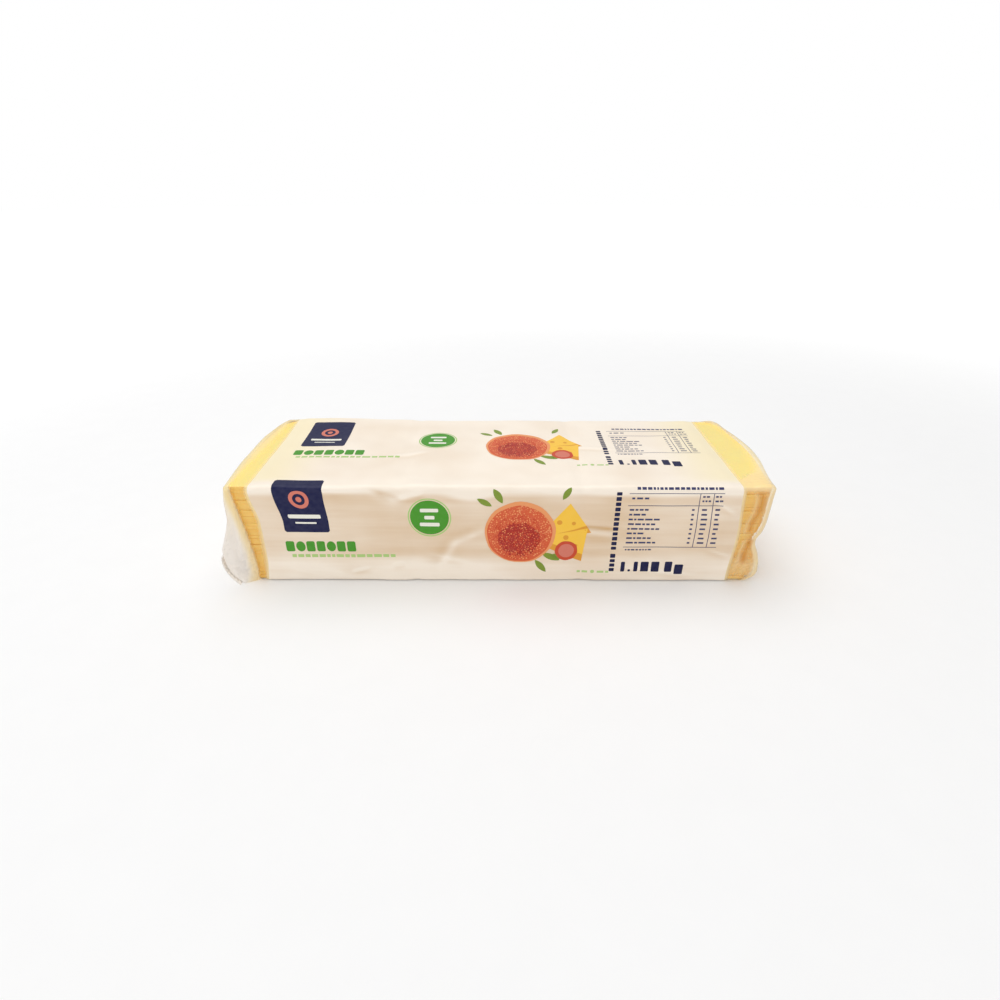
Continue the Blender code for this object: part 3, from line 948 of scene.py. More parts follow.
def right_look(points, proud):
    """Haze, warmth and amber of the tight film: deep amber in the folds at its end and a tan on
    its front, partly doubled film and partly painted shade.
    """
    x, y, z = points.T
    rim = smooth_step(x - np.interp(y, *BRIGHT_TO_RIGHT), -3.2, 2.8)
    cheese = LENGTH / 2 + read_profile(z, RIGHT_REACH) - END_CLEARANCE
    past = smooth_step(x - cheese - STACK_BOWS[2][1] * end_bow(y), -1.2, 0.4)
    from_back = np.clip(y - DEPTH / 2 + BACK_CORNER, 0.0, SOFT_CORNER) / SOFT_CORNER
    rounded = SOFT_CORNER * (1.0 - np.sqrt(1.0 - from_back ** 2))
    past_side = smooth_step(x - cheese + rounded, *VEIL_STARTS)
    top = np.maximum(0.7 * rim, 0.95 * past)
    on_front = smooth_step(-y, DEPTH / 2 - 4.0, DEPTH / 2 - 1.0)
    on_edge = np.maximum(on_front, smooth_step(y, DEPTH / 2 - 5.2, DEPTH / 2 - 2.6))
    right, shown = from_fold(x, z)
    shown = shown * on_front * (1.0 - over_top(z))
    # Painted shade, partly real doubled film: deep amber and more haze in the fold's valley; a
    # paler haze on the crest beside it, as painted highlight.
    folds = shown * np.exp(-(right / 2.0) ** 2)
    crest = shown * np.exp(-((right + 2.9) / 0.9) ** 2)
    mottle = 0.5 + 0.5 * np.sin(x * 1.9 + 2.0 * np.sin(z * 0.8)) * np.sin(z * 1.5 + x * 0.6)
    low_lobe = hump(z, 8.0, 11.0) * smooth_step(x, 112.0, 115.0)
    outer = np.minimum(smooth_step(x, 122.0, 125.0) + (0.4 + 0.7 * mottle) * low_lobe, 1.2)
    side = (0.06 + 0.45 * outer + 0.42 * folds + 0.28 * crest) * on_front
    side = np.maximum(side, 0.97 * past_side * on_edge)
    haze = 0.03 + side + (top - side) * over_top(z) + 0.05 * np.abs(proud)
    # Painted light: a pale veil along the top's back edge hides the shaded gap beneath.
    haze = np.maximum(haze, 0.9 * back_rim(y, z))
    edge = PRINT_RIGHT + drawn(np.full(x.shape, PRINT_RIGHT), np.where(y < 0.0, z - HEIGHT, 0.0))
    # Painted light: the pale rim by the print hides the shade under its edge.
    haze = np.maximum(haze, 0.85 * near_print(x, edge))
    # Painted shade: a tan on the end's front faces and on the top towards the front, less on the
    # lower lobe and by the print's edge.
    front_shade = 0.1 * over_top(z) * smooth_step(-y, 24.0, 31.0) + 0.22 * on_front * (1.0 - over_top(z))
    front_shade = (front_shade - 0.1 * low_lobe * on_front) * (1.0 - 0.8 * near_print(x, edge))
    return haze, np.full(x.shape, 0.85), np.maximum(folds, front_shade * (1.0 - 0.6 * crest))


left_all = np.concatenate([tube[:left_quads], first_cap])
right_all = np.concatenate([tube[left_quads + print_quads:], last_cap])
proud_all = np.concatenate([
    left_proud.reshape(-1), np.zeros(print_x.size), right_proud.reshape(-1),
    left_cap_proud[1:-1, 1:-1].reshape(-1), right_cap_proud[1:-1, 1:-1].reshape(-1)])
for name, quads, is_left in (("clear_left_end", left_all, True),
                             ("clear_right_end", right_all, False)):
    end_film, used = plain_mesh(name, film_points, quads, clear)
    look = left_look if is_left else right_look
    haze, warmth, doubled = look(film_points[used], proud_all[used])
    store(end_film, "haze", haze)
    store(end_film, "warmth", warmth)
    # Doubled carries the deep amber, at the right end partly painted shade.
    store(end_film, "doubled", doubled)
    end_film.visible_shadow = False
    ride_as(end_film)

# Crimped seals
# Each end of the film tube is pressed flat between ribbed jaws and cut off with a saw
# edge. The left seal hangs loose from the slope of film down to the table, and its
# front end sticks out as an ear. The right one is folded down over the lower lobe.
SEAL_TUCK_IN = 8.6
TUCK_EASE = 2.2
SAW_PITCH = 1.7
SAW_DEPTH = 0.8
SEAL_THICK = 0.22
RIBS = 9
RIB_HEIGHT = 0.1
FLAP_TOP = 18.0
FLAP_FOOT = 5.5
FLAP_MARGIN = 13.0
SEAL_COLUMNS = 190
SEAL_LINES = 44


def crimp_tree():
    """Geometry Nodes tree that presses ribs into a sheet, across its stored run."""
    tree = bpy.data.node_groups.new("crimped_seal", "GeometryNodeTree")
    face = tree.interface
    face.new_socket("Geometry", in_out="INPUT", socket_type="NodeSocketGeometry")
    face.new_socket("Ribs", in_out="INPUT", socket_type="NodeSocketFloat")
    face.new_socket("Rib Height", in_out="INPUT", socket_type="NodeSocketFloat")
    face.new_socket("Film", in_out="INPUT", socket_type="NodeSocketMaterial")
    face.new_socket("Geometry", in_out="OUTPUT", socket_type="NodeSocketGeometry")
    given = tree.nodes.new("NodeGroupInput").outputs
    run = put(tree, "GeometryNodeInputNamedAttribute", {"Name": "run"}, data_type="FLOAT")
    pressed = put(tree, "GeometryNodeInputNamedAttribute", {"Name": "pressed"},
                  data_type="FLOAT")
    turns = put(tree, "ShaderNodeMath", {0: given["Ribs"], 1: 2 * math.pi},
                operation="MULTIPLY")
    phase = put(tree, "ShaderNodeMath", {0: run.outputs["Attribute"], 1: turns.outputs[0]},
                operation="MULTIPLY")
    wave = put(tree, "ShaderNodeMath", {0: phase.outputs[0]}, operation="SINE")
    held = put(tree, "ShaderNodeMath", {0: wave.outputs[0], 1: pressed.outputs["Attribute"]},
               operation="MULTIPLY")
    height = put(tree, "ShaderNodeMath", {0: held.outputs[0], 1: given["Rib Height"]},
                 operation="MULTIPLY")
    out = put(tree, "GeometryNodeInputNormal", {})
    offset = put(tree, "ShaderNodeVectorMath", {
        0: out.outputs[0], "Scale": height.outputs[0]}, operation="SCALE")
    ribbed = put(tree, "GeometryNodeSetPosition", {
        "Geometry": given["Geometry"], "Offset": offset.outputs[0]})
    real = put(tree, "GeometryNodeRealizeInstances", {"Geometry": ribbed.outputs[0]})
    coated = put(tree, "GeometryNodeSetMaterial", {
        "Geometry": real.outputs[0], "Material": given["Film"]})
    put(tree, "NodeGroupOutput", {"Geometry": coated.outputs[0]})
    return tree


def saw(y):
    """Height of the saw-cut edge at a place along the seal."""
    return SAW_DEPTH * np.abs(2.0 * np.mod(y / SAW_PITCH, 1.0) - 1.0)


def left_seal_points():
    """The loose seal: it follows the end's film, then hangs and curls in to the table."""
    y, down = np.meshgrid(np.linspace(-DEPTH / 2, DEPTH / 2, SEAL_COLUMNS),
                          np.linspace(0.0, 1.0, SEAL_LINES), indexing="ij")
    top = np.full(y.shape, SEAL_HEIGHT)
    fold = left_end(y, top) - left_cap_relief(y, top)
    z = SEAL_HEIGHT * (1.0 - down) + (0.3 + saw(y)) * down
    inward = smooth_step(y, -DEPTH / 2, 8.0 - DEPTH / 2)
    wavy = 0.9 * np.sin(y * 0.21 + 0.8) + 0.45 * np.sin(y * 0.55 + 2.0)
    x = fold - 0.35 + SEAL_TUCK_IN * down ** TUCK_EASE + wavy * down * inward
    return np.stack([x, y - ear_forward(y, z), z], axis=-1), down


def right_seal_points():
    """The folded seal: it lies flat on the lower lobe, with its saw edge down."""
    half = DEPTH / 2 - FLAP_MARGIN
    y, down = np.meshgrid(np.linspace(-half, half, SEAL_COLUMNS),
                          np.linspace(0.0, 1.0, SEAL_LINES), indexing="ij")
    z = FLAP_TOP + (FLAP_FOOT + saw(y) - FLAP_TOP) * down
    lifted = 0.4 + 0.4 * down + 0.3 * np.sin(y * 0.3 + 1.0) * down
    x = right_end(y, z) + right_cap_relief(y, z) + lifted
    return np.stack([x, y, z], axis=-1), down


def sheet_faces(columns, lines):
    """Quads of a plain grid whose points run column by column."""
    column, line = np.meshgrid(np.arange(columns - 1), np.arange(lines - 1), indexing="ij")
    here = column * lines + line
    return np.stack([here, here + lines, here + lines + 1, here + 1], axis=-1).reshape(-1, 4)


crimping = crimp_tree()
for name, (seal_points, down), facing, milk in (
        ("left_seal", left_seal_points(), 1, 0.85), ("right_seal", right_seal_points(), -1, 0.34)):
    faces = sheet_faces(SEAL_COLUMNS, SEAL_LINES)[:, ::facing]
    seal, _ = plain_mesh(name + "_sheet", seal_points.reshape(-1, 3), faces, clear)
    run = down.reshape(-1)
    store(seal, "run", run)
    store(seal, "pressed", smooth_step(run, 0.12, 0.2))
    milky = milk + 0.1 * np.sin(seal_points[..., 1].reshape(-1) * 0.8)
    store(seal, "haze", milky * smooth_step(run, 0.0, 0.16))
    store(seal, "warmth", np.zeros(run.size))
    store(seal, "doubled", np.zeros(run.size))
    crimped = seal.modifiers.new("Ribs", "NODES")
    crimped.node_group = crimping
    feed(crimped, {"Ribs": float(RIBS), "Rib Height": RIB_HEIGHT * MM, "Film": clear})
    doubled = seal.modifiers.new("Two layers", "SOLIDIFY")
    doubled.thickness = SEAL_THICK * MM
    doubled.offset = 0.0
    pressed_seal = settled(seal, name)
    pressed_seal.visible_shadow = False
    ride_as(pressed_seal)

# Lap seam
# Underneath, the film's long edges overlap and are sealed in one flat strip with fine
# ribs, which the block lies on.
LAP_HALF = 5.0
LAP_LINES = 61
LAP_COLUMNS = 120
LAP_RIB = 0.03

lap_x, lap_y = np.meshgrid(np.linspace(PRINT_LEFT, PRINT_RIGHT, LAP_COLUMNS),
                           np.linspace(-LAP_HALF, LAP_HALF, LAP_LINES), indexing="ij")
lap_z = 0.05 + LAP_RIB * np.sin(lap_y * 2 * math.pi / 1.0)
lap_points = np.stack([lap_x, lap_y, lap_z], axis=-1).reshape(-1, 3)
lap, _ = plain_mesh("lap_seam", lap_points, sheet_faces(LAP_COLUMNS, LAP_LINES)[:, ::-1], printed)
store(lap, "cling_and_shade", np.full(len(lap_points), 0.1))
store(lap, "side", np.zeros(len(lap_points)))
store(lap, "tinge", np.zeros(len(lap_points)))
store(lap, "fold", np.zeros(len(lap_points)))
ride_as(lap)

# Print
# Flat inks lie on the film in one design that repeats round the block, so the front and
# the top show the same fields: a navy panel, a green row, a badge, a food-coloured
# cluster, a ruled table and a bold row. Each ink is one thin piece that follows the film.
PITCH = 71.4
PRINT_ROWS = (-1, 0, 1, 2, 3)
LAP_SEAM = -HEIGHT - DEPTH / 2
SEAM_MARGIN = 5.0
INK_RISE = 0.03
LAYER_RISE = 0.011
TOO_SMALL_TO_CUT = 1.5
ROUND_STEPS = 40
ink_sheets = {}


def film_lines(low, high, lines):
    """The film's grid lines that cross a span."""
    return [line for line in lines if low + 0.01 < line < high - 0.01]


ROW_PLACES = np.where(ROWS > LAP_SEAM + GIRTH, ROWS - GIRTH, ROWS)
GIRTH_LINES = sorted(ROW_PLACES.tolist())


def lay(ink, outline, layer=0):
    """Add a flat shape, given as (across, down) in the design, to an ink, in every repeat.

    Across is measured from the print's left edge and down from the front top edge."""
    points, faces = ink_sheets.setdefault(ink, ([], []))
    downs = [down for _, down in outline]
    for row in PRINT_ROWS:
        low, high = PITCH * row - max(downs), PITCH * row - min(downs)
        if high < LAP_SEAM + SEAM_MARGIN or low > LAP_SEAM + GIRTH - SEAM_MARGIN:
            continue
        shape = bmesh.new()
        corners = [shape.verts.new((PRINT_LEFT + across, PITCH * row - down, layer))
                   for across, down in outline]
        face = shape.faces.new(corners)
        face.normal_update()
        if face.normal.z < 0:
            face.normal_flip()
        trim_and_cut(shape, low, high)
        shape.verts.index_update()
        start = len(points)
        points.extend(vert.co[:] for vert in shape.verts)
        faces.extend([start + vert.index for vert in face.verts] for face in shape.faces)
        shape.free()


def trim_and_cut(shape, low, high):
    """Stop a shape at the lap seam, and cut it along the film's grid lines."""
    for seam, way in ((LAP_SEAM + SEAM_MARGIN, -1.0), (LAP_SEAM + GIRTH - SEAM_MARGIN, 1.0)):
        if low < seam < high:
            slice_shape(shape, (0.0, seam, 0.0), (0.0, way, 0.0), True)
    across = [vert.co.x for vert in shape.verts]
    if not across:
        return
    left, right = min(across), max(across)
    if max(right - left, high - low) > TOO_SMALL_TO_CUT:
        bmesh.ops.triangulate(shape, faces=[f for f in shape.faces if len(f.verts) > 4])
        for line in film_lines(left, right, PRINT_COLUMNS):
            slice_shape(shape, (float(line), 0.0, 0.0), (1.0, 0.0, 0.0), False)
        for line in film_lines(low, high, GIRTH_LINES):
            slice_shape(shape, (0.0, line, 0.0), (0.0, 1.0, 0.0), False)


def slice_shape(shape, place, normal, clear_beyond):
    """Cut a flat shape along one line, and drop what is beyond it if asked."""
    everything = list(shape.verts) + list(shape.edges) + list(shape.faces)
    bmesh.ops.bisect_plane(shape, geom=everything, plane_co=place, plane_no=normal,
                           clear_outer=clear_beyond)


def bar(left, top, width, height, corner=0.0):
    """Outline of a bar, with cut corners if asked."""
    right, low = left + width, top + height
    if corner == 0.0:
        return [(left, top), (right, top), (right, low), (left, low)]
    return [(left + corner, top), (right - corner, top), (right, top + corner),
            (right, low - corner), (right - corner, low), (left + corner, low),
            (left, low - corner), (left, top + corner)]


def disc(across, down, wide, tall=None, start=0.0, end=360.0, lumpy=0.0):
    """Outline of a disc, an oval or a part of one, with an uneven rim if asked."""
    tall = wide if tall is None else tall
    full = abs(end - start) >= 360.0
    steps = max(8, round(ROUND_STEPS * min(1.0, (wide + tall) / 12.0)))
    outline = []
    for step in range(steps if full else steps + 1):
        angle = math.radians(start + (end - start) * step / steps)
        swell = 1.0 + lumpy * (math.sin(5 * angle + across) + math.sin(9 * angle + down))
        outline.append((across + wide / 2 * swell * math.cos(angle),
                        down - tall / 2 * swell * math.sin(angle)))
    return outline


def ring(across, down, outer, inner):
    """A ring as two half bands."""
    for start in (0.0, 180.0):
        far = disc(across, down, outer, None, start, start + 180.0)
        near = disc(across, down, inner, None, start, start + 180.0)
        yield far + near[::-1]


def turned(outline, across, down, angle):
    """An outline turned about a point of the design."""
    c, s = math.cos(math.radians(angle)), math.sin(math.radians(angle))
    return [(across + (a - across) * c - (d - down) * s, down + (a - across) * s + (d - down) * c)
            for a, d in outline]


def leaf(across, down, length, width, angle):
    """A pointed leaf from its foot at a point, growing at an angle."""
    side = [(length * t, width / 2 * math.sin(math.pi * t) ** 0.8) for t in
            [step / 10.0 for step in range(11)]]
    outline = [(across + a, down - b) for a, b in side]
    outline += [(across + a, down + b) for a, b in side[-2:0:-1]]
    return turned(outline, across, down, angle)


def marks(ink, rng, left, top, width, height, gap=0.9, shortest=1.2, longest=3.4):
    """A line of small bars of uneven length, where small print would be."""
    place = left
    while place < left + width - shortest:
        length = min(rng.uniform(shortest, longest), left + width - place)
        lay(ink, bar(place, top, length, height))
        place += length + gap


def lay_panel():
    """Navy panel with a plain coral ring and two pale bars."""
    lay("navy", bar(11.2, -7.0, 23.2, 31.4, 0.9))
    for band in ring(22.8, 6.6, 9.4, 5.8):
        lay("coral", band, 1)
    lay("coral", disc(22.8, 6.6, 2.8), 1)
    lay("white", bar(14.6, 14.6, 16.4, 2.1, 0.4), 1)
    lay("white", bar(17.4, 18.7, 10.8, 0.9), 1)


def lay_green_row():
    """Bold green row of plain blocks and discs, over a pale line."""
    place = 10.4
    for kind in ("block", "disc", "block", "block", "disc", "block", "block"):
        if kind == "disc":
            lay("green", disc(place + 2.3, 32.4, 4.8, 5.8))
        else:
            lay("green", bar(place, 29.5, 4.4, 5.8, 0.6))
        place += 5.3
    marks("pale_green", random.Random(3), 12.8, 36.9, 53.0, 1.7, 0.8, 1.6, 4.2)


def lay_badge():
    """Green badge in a pale ring, with three short bars."""
    for band in ring(83.5, 16.2, 20.6, 19.3):
        lay("pale_green", band)
    lay("green", disc(83.5, 16.2, 18.4))
    for top, width in ((11.4, 8.6), (15.2, 4.8), (18.9, 9.4)):
        lay("white", bar(83.5 - width / 2, top, width, 1.9, 0.35), 1)


def lay_wedge(across, down, length, width, angle, layer):
    """A flat yellow wedge of cheese with a deeper side and two round holes."""
    face = [(across, down), (across + length, down - width / 2),
            (across + length, down + width / 2)]
    side = [(across, down), (across + length, down + width / 2),
            (across + length, down + width / 2 + 4.0), (across, down + 3.0)]
    lay("yellow", turned(face, across, down, angle), layer)
    lay("amber", turned(side, across, down, angle), layer)
    for along, over, wide in ((0.6, -0.1, 2.6), (0.82, 0.18, 2.0)):
        hole = disc(across + length * along, down + width * over, wide)
        lay("amber", turned(hole, across, down, angle), layer + 1)


def dot_cluster(across, down, wide, dots_apart, dot, seed):
    """Small flat dots strewn over a disc by Geometry Nodes, as outlines in the design."""
    field = bmesh.new()
    bmesh.ops.create_circle(field, cap_ends=True, segments=ROUND_STEPS, radius=wide / 2)
    data = bpy.data.meshes.new("dot_field")
    field.to_mesh(data)
    field.free()
    carrier = bpy.data.objects.new("dot_field", data)
    bpy.context.scene.collection.objects.link(carrier)
    strewing = carrier.modifiers.new("Dots", "NODES")
    strewing.node_group = dot_tree
    feed(strewing, {"Apart": dots_apart, "Dot": dot, "Seed": seed, "Ink": printed})
    strewn = settled(carrier, "dots")
    outlines = []
    for polygon in strewn.data.polygons:
        places = [strewn.data.vertices[index].co for index in polygon.vertices]
        outlines.append([(across + place.x, down - place.y) for place in places])
    bpy.data.objects.remove(strewn, do_unlink=True)
    return outlines


def strewing_tree():
    """Geometry Nodes tree that strews six-sided dots of uneven size over a face."""
    tree = bpy.data.node_groups.new("strewn_dots", "GeometryNodeTree")
    face = tree.interface
    face.new_socket("Geometry", in_out="INPUT", socket_type="NodeSocketGeometry")
    face.new_socket("Apart", in_out="INPUT", socket_type="NodeSocketFloat")
    face.new_socket("Dot", in_out="INPUT", socket_type="NodeSocketFloat")
    face.new_socket("Seed", in_out="INPUT", socket_type="NodeSocketInt")
    face.new_socket("Ink", in_out="INPUT", socket_type="NodeSocketMaterial")
    face.new_socket("Geometry", in_out="OUTPUT", socket_type="NodeSocketGeometry")
    given = tree.nodes.new("NodeGroupInput").outputs
    places = put(tree, "GeometryNodeDistributePointsOnFaces", {
        "Mesh": given["Geometry"], "Distance Min": given["Apart"], "Density Max": 4.0,
        "Seed": given["Seed"]}, distribute_method="POISSON")
    dot = put(tree, "GeometryNodeMeshCircle", {"Vertices": 6, "Radius": given["Dot"]},
              fill_type="NGON")
    size = put(tree, "FunctionNodeRandomValue", {2: 0.35, 3: 1.7, "Seed": given["Seed"]},
               data_type="FLOAT")
    laid = put(tree, "GeometryNodeInstanceOnPoints", {
        "Points": places.outputs["Points"], "Instance": dot.outputs["Mesh"],
        "Scale": size.outputs[1]})
    real = put(tree, "GeometryNodeRealizeInstances", {"Geometry": laid.outputs[0]})
    inked = put(tree, "GeometryNodeSetMaterial", {
        "Geometry": real.outputs[0], "Material": given["Ink"]})
    put(tree, "NodeGroupOutput", {"Geometry": inked.outputs[0]})
    return tree


dot_tree = strewing_tree()


def lay_cluster():
    """Food-coloured cluster: wedges, a large toasted disc, red rounds and leaves."""
    for across, down, length, width, angle in (
            (137.0, 36.0, 10.0, 3.4, 24.0), (140.0, 38.0, 11.0, 3.6, -4.0),
            (134.0, 40.0, 9.0, 3.2, 52.0), (118.0, 8.5, 9.0, 3.4, -118.0),
            (113.0, 10.0, 8.0, 3.0, -150.0), (146.0, 6.5, 8.0, 3.0, -62.0)):
        lay("leaf_green", leaf(across, down, length, width, angle))
    lay_wedge(134.0, 28.0, 24.0, 15.0, -34.0, 0)
    lay_wedge(134.0, 27.0, 24.0, 15.0, 6.0, 2)
    lay("red", disc(149.0, 34.5, 11.0, None, 0, 360, 0.01), 4)
    lay("coral", disc(149.0, 34.5, 7.6), 5)
    lay("peach", disc(126.5, 24.5, 34.0, None, 0, 360, 0.006), 3)
    lay("toast", disc(126.2, 25.3, 31.2, None, 0, 360, 0.008), 4)
    lay("deep_toast", disc(126.0, 28.0, 20.5, 17.0, 0, 360, 0.02), 5)
    for dot in dot_cluster(126.3, 24.6, 29.6, 0.9, 0.3, 5):
        lay("peach", dot, 6)
    for dot in dot_cluster(126.0, 27.0, 25.0, 0.8, 0.36, 11):
        lay("red", dot, 7)
    for dot in dot_cluster(126.0, 28.4, 19.0, 0.9, 0.4, 17):
        lay("deep_toast", dot, 8)


def lay_table():
    """Ruled table with two narrow columns, filled with small bars."""
    rng = random.Random(12)
    marks("slate", rng, 180.0, -0.7, 40.0, 1.6, 0.6, 0.8, 2.6)
    for down in (3.0, 9.4, 32.3):
        lay("slate", bar(176.5, down, 44.0, 0.32))
    for across in (209.2, 215.6):
        lay("slate", bar(across, 3.0, 0.32, 29.3))
    marks("slate", rng, 178.0, 5.2, 9.0, 1.0)
    for across in (210.6, 216.6):
        marks("slate", rng, across, 4.4, 3.6, 0.9, 0.5, 0.9, 1.6)
        marks("slate", rng, across, 6.7, 4.0, 0.9, 0.5, 0.9, 1.6)
    for row in range(8):
        top = 11.3 + row * 2.6
        marks("slate", rng, 177.5, top, rng.uniform(7.0, 23.0), 0.95, 0.6, 1.0, 3.6)
        lay("slate", bar(206.4, top, 1.2, 0.95))
        lay("slate", bar(211.0, top, rng.uniform(2.0, 3.4), 0.95))
        lay("slate", bar(217.2, top, rng.uniform(1.2, 2.6), 0.95))
    marks("slate", rng, 177.5, 33.6, 13.0, 0.8, 0.5, 0.8, 2.0)


def lay_side_line():
    """Navy blocks up the side of the table, with a gap after the first four."""
    rng = random.Random(9)
    place = 46.6
    for index in range(16):
        tall = rng.uniform(1.7, 2.3)
        lay("navy", bar(170.7, place - tall, 2.5, tall, 0.25))
        place -= tall + (2.4 if index == 3 else 0.75)


def lay_bold_row():
    """Bold navy row under the table."""
    for left, top, width, height in (
            (176.4, 41.0, 2.0, 5.8), (180.0, 45.4, 1.3, 1.4), (182.8, 41.0, 2.0, 5.8),
            (186.2, 41.0, 3.9, 5.8), (191.4, 41.0, 3.9, 5.8), (198.0, 41.0, 3.6, 5.8),
            (202.9, 42.6, 4.2, 5.6)):
        lay("navy", bar(left, top, width, height, 0.35))
    marks("pale_green", random.Random(21), 155.0, 46.4, 5.5, 1.2)
    lay("pale_green", disc(162.6, 46.9, 2.0))
    marks("pale_green", random.Random(22), 164.9, 46.4, 6.0, 1.2)


def on_sleeve(x, girth, rise):
    """Points of the printed sleeve's own facets at (x, girth), lifted by rise."""
    order = np.argsort(ROW_PLACES)
    rows = ROW_PLACES[order]
    column = np.clip(np.searchsorted(PRINT_COLUMNS, x) - 1, 0, len(PRINT_COLUMNS) - 2)
    row = np.clip(np.searchsorted(rows, girth) - 1, 0, len(rows) - 2)
    along = (x - PRINT_COLUMNS[column]) / (PRINT_COLUMNS[column + 1] - PRINT_COLUMNS[column])
    around = (girth - rows[row]) / (rows[row + 1] - rows[row])
    along, around = along[:, None], around[:, None]
    near, far = order[row], order[row + 1]
    low = middle_film[column, near] * (1 - along) + middle_film[column + 1, near] * along
    high = middle_film[column, far] * (1 - along) + middle_film[column + 1, far] * along
    normal = section(girth)[1]
    lift = np.stack([np.zeros(len(x)), normal[:, 0], normal[:, 1]], axis=-1) * rise[:, None]
    return low * (1 - around) + high * around + lift


def ink_material(name, colour):
    """One ink under the film's gloss, laid on a little unevenly."""
    material, tree, shader = new_material(name + "_ink")
    place = put(tree, "ShaderNodeTexCoord", {})
    cover = put(tree, "ShaderNodeTexNoise", {
        "Vector": place.outputs["Object"], "Scale": 420.0, "Detail": 3.0})
    share = put(tree, "ShaderNodeMapRange", {
        "Value": cover.outputs["Fac"], "From Min": 0.35, "From Max": 0.75, "To Max": 0.05})
    paler = [channel + (1.0 - channel) * 0.3 for channel in colour]
    tone = put(tree, "ShaderNodeMix", {"Factor": share.outputs[0], 6: colour, 7: paler},
               data_type="RGBA")
    bump = ripple_bump(tree, place.outputs["Object"], 260.0, 0.25, 0.0002)
    tree.links.new(tone.outputs[2], shader.inputs["Base Color"])
    tree.links.new(bump.outputs["Normal"], shader.inputs["Normal"])
    shader.inputs["Roughness"].default_value = 0.36
    shader.inputs["Specular IOR Level"].default_value = 0.22
    return material


INKS = {
    "navy": paint(12, 17, 66),
    "slate": paint(62, 64, 104),
    "green": paint(72, 150, 40),
    "pale_green": paint(176, 208, 128),
    "leaf_green": paint(128, 150, 52),
    "white": paint(240, 238, 226),
    "coral": paint(214, 122, 104),
    "red": paint(204, 74, 44),
    "yellow": paint(250, 200, 70),
    "amber": paint(226, 156, 50),
    "peach": paint(236, 156, 100),
    "toast": paint(216, 94, 56),
    "deep_toast": paint(172, 44, 34),
}

lay_panel()
lay_green_row()
lay_badge()
lay_cluster()
lay_table()
lay_side_line()
lay_bold_row()
for ink, (flat, faces) in ink_sheets.items():
    flat = np.array(flat)
    rise = INK_RISE + LAYER_RISE * flat[:, 2]
    printed_points = on_sleeve(flat[:, 0], flat[:, 1], rise)
    data = bpy.data.meshes.new("ink_" + ink)
    data.from_pydata((printed_points * MM).tolist(), [], faces)
    data.materials.append(ink_material(ink, INKS[ink]))
    data.shade_smooth()
    sheet = bpy.data.objects.new("ink_" + ink, data)
    bpy.context.scene.collection.objects.link(sheet)
    ride_as(sheet)

# Floor, light and camera
# A pale floor under soft studio light, seen from in front and a little above.
FLOOR_DROP = 0.3
FLOOR_RADIUS = 5.0
GLOW_FROM = 0.3
GLOW_FULL = 1.3
FLOOR_GLOW = 0.5
CAMERA_PLACE = (-2.05, -283.3, 176.7)
CAMERA_PITCH = 28.24
CAMERA_YAW = -0.2
FOCAL_PIXELS = 588.7
IMAGE = 1000.0
SENSOR = 36.0
PRINCIPAL = (494.28, 496.33)
SKY_LIGHT = 0.56


def studio_floor(name):
    """A wide round sheet of studio paper."""
    points = [(FLOOR_RADIUS * math.cos(math.radians(angle)),
               FLOOR_RADIUS * math.sin(math.radians(angle)), -FLOOR_DROP * MM)
              for angle in range(0, 360, 5)]
    data = bpy.data.meshes.new(name)
    data.from_pydata(points, [], [range(len(points))])
    made = bpy.data.objects.new(name, data)
    bpy.context.scene.collection.objects.link(made)
    return made


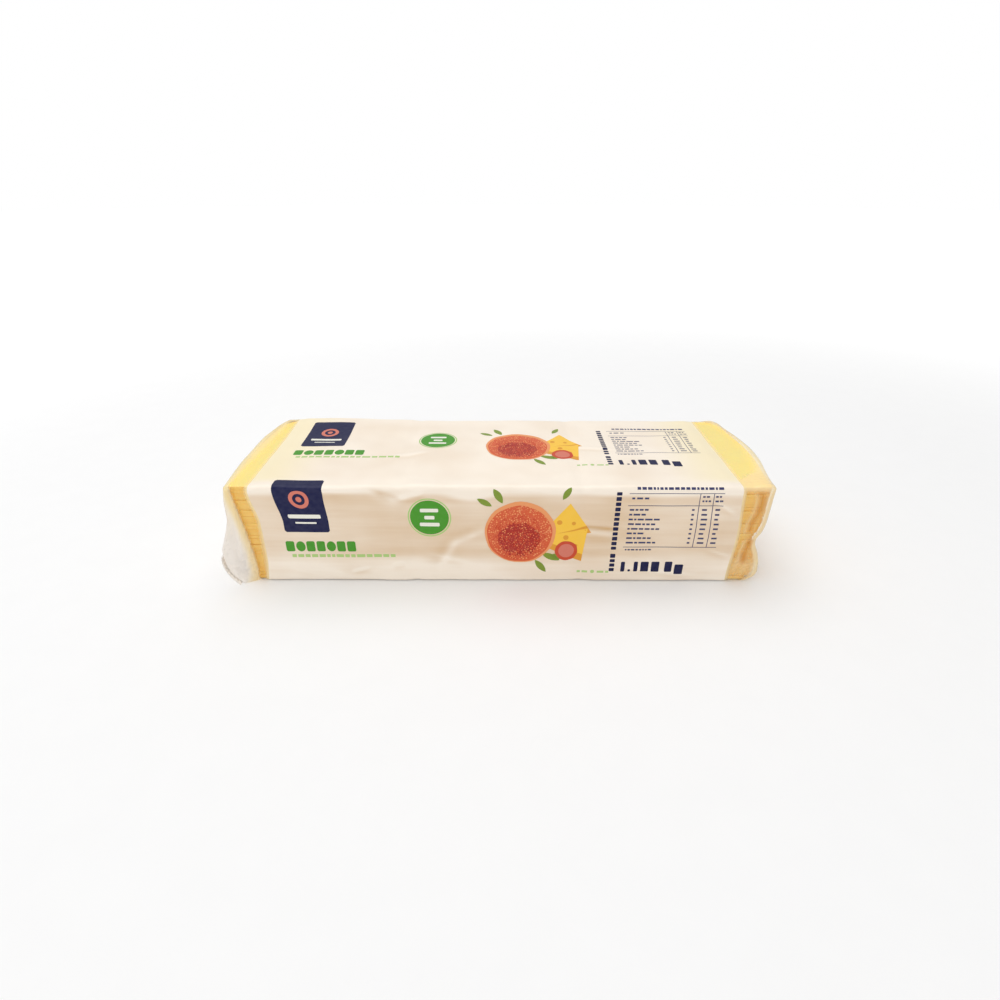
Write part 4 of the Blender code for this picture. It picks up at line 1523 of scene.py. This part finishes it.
def floor_material():
    """Matt white paper, lit from below away from the object, so that it fades to white."""
    material, tree, shader = new_material("studio_paper")
    place = put(tree, "ShaderNodeTexCoord", {})
    fibre = put(tree, "ShaderNodeTexNoise", {"Vector": place.outputs["Object"], "Scale": 60.0})
    colour = put(tree, "ShaderNodeMix", {
        "Factor": fibre.outputs["Fac"], 6: (0.93, 0.93, 0.93, 1.0), 7: (0.95, 0.95, 0.95, 1.0)},
        data_type="RGBA")
    away = put(tree, "ShaderNodeVectorMath", {0: place.outputs["Object"]}, operation="LENGTH")
    glow = put(tree, "ShaderNodeMapRange", {
        "Value": away.outputs["Value"], "From Min": GLOW_FROM, "From Max": GLOW_FULL,
        "To Max": FLOOR_GLOW}, interpolation_type="SMOOTHSTEP")
    tree.links.new(colour.outputs[2], shader.inputs["Base Color"])
    tree.links.new(glow.outputs[0], shader.inputs["Emission Strength"])
    shader.inputs["Emission Color"].default_value = (1.0, 1.0, 1.0, 1.0)
    shader.inputs["Roughness"].default_value = 0.9
    shader.inputs["Specular IOR Level"].default_value = 0.1
    return material


def area_light(name, place, aim, size, power):
    """A soft square light that points at a place."""
    data = bpy.data.lights.new(name, "AREA")
    data.size = size
    data.energy = power
    made = bpy.data.objects.new(name, data)
    made.location = place
    made.rotation_euler = (Vector(aim) - Vector(place)).to_track_quat("-Z", "Y").to_euler()
    bpy.context.scene.collection.objects.link(made)


floor = studio_floor("studio_floor")
floor.data.materials.append(floor_material())
area_light("overhead_light", (-0.2, 0.3, 1.5), (0.0, 0.0, 0.0), 1.6, 13.6)
area_light("front_fill", (-0.2, -1.3, 0.4), (0.0, 0.0, 0.02), 1.2, 3.2)
area_light("left_fill", (-1.2, -0.6, 0.35), (0.0, 0.0, 0.02), 0.8, 0.9)

world = bpy.data.worlds.new("studio_world")
world.use_nodes = True
seen = put(world.node_tree, "ShaderNodeLightPath", {})
brightness = put(world.node_tree, "ShaderNodeMapRange", {
    "Value": seen.outputs["Is Camera Ray"], "To Min": SKY_LIGHT, "To Max": 1.0})
sky = world.node_tree.nodes["Background"]
sky.inputs["Color"].default_value = (1.0, 1.0, 1.0, 1.0)
world.node_tree.links.new(brightness.outputs[0], sky.inputs["Strength"])
bpy.context.scene.world = world
bpy.context.scene.view_settings.view_transform = "Standard"

lens = bpy.data.cameras.new("camera")
lens.sensor_width = SENSOR
lens.lens = FOCAL_PIXELS / IMAGE * SENSOR
lens.shift_x = (IMAGE / 2 - PRINCIPAL[0]) / IMAGE
lens.shift_y = (PRINCIPAL[1] - IMAGE / 2) / IMAGE
camera = bpy.data.objects.new("camera", lens)
camera.location = [value * MM for value in CAMERA_PLACE]
camera.rotation_euler = (math.radians(90.0 - CAMERA_PITCH), 0.0, math.radians(-CAMERA_YAW))
bpy.context.scene.collection.objects.link(camera)
bpy.context.scene.camera = camera
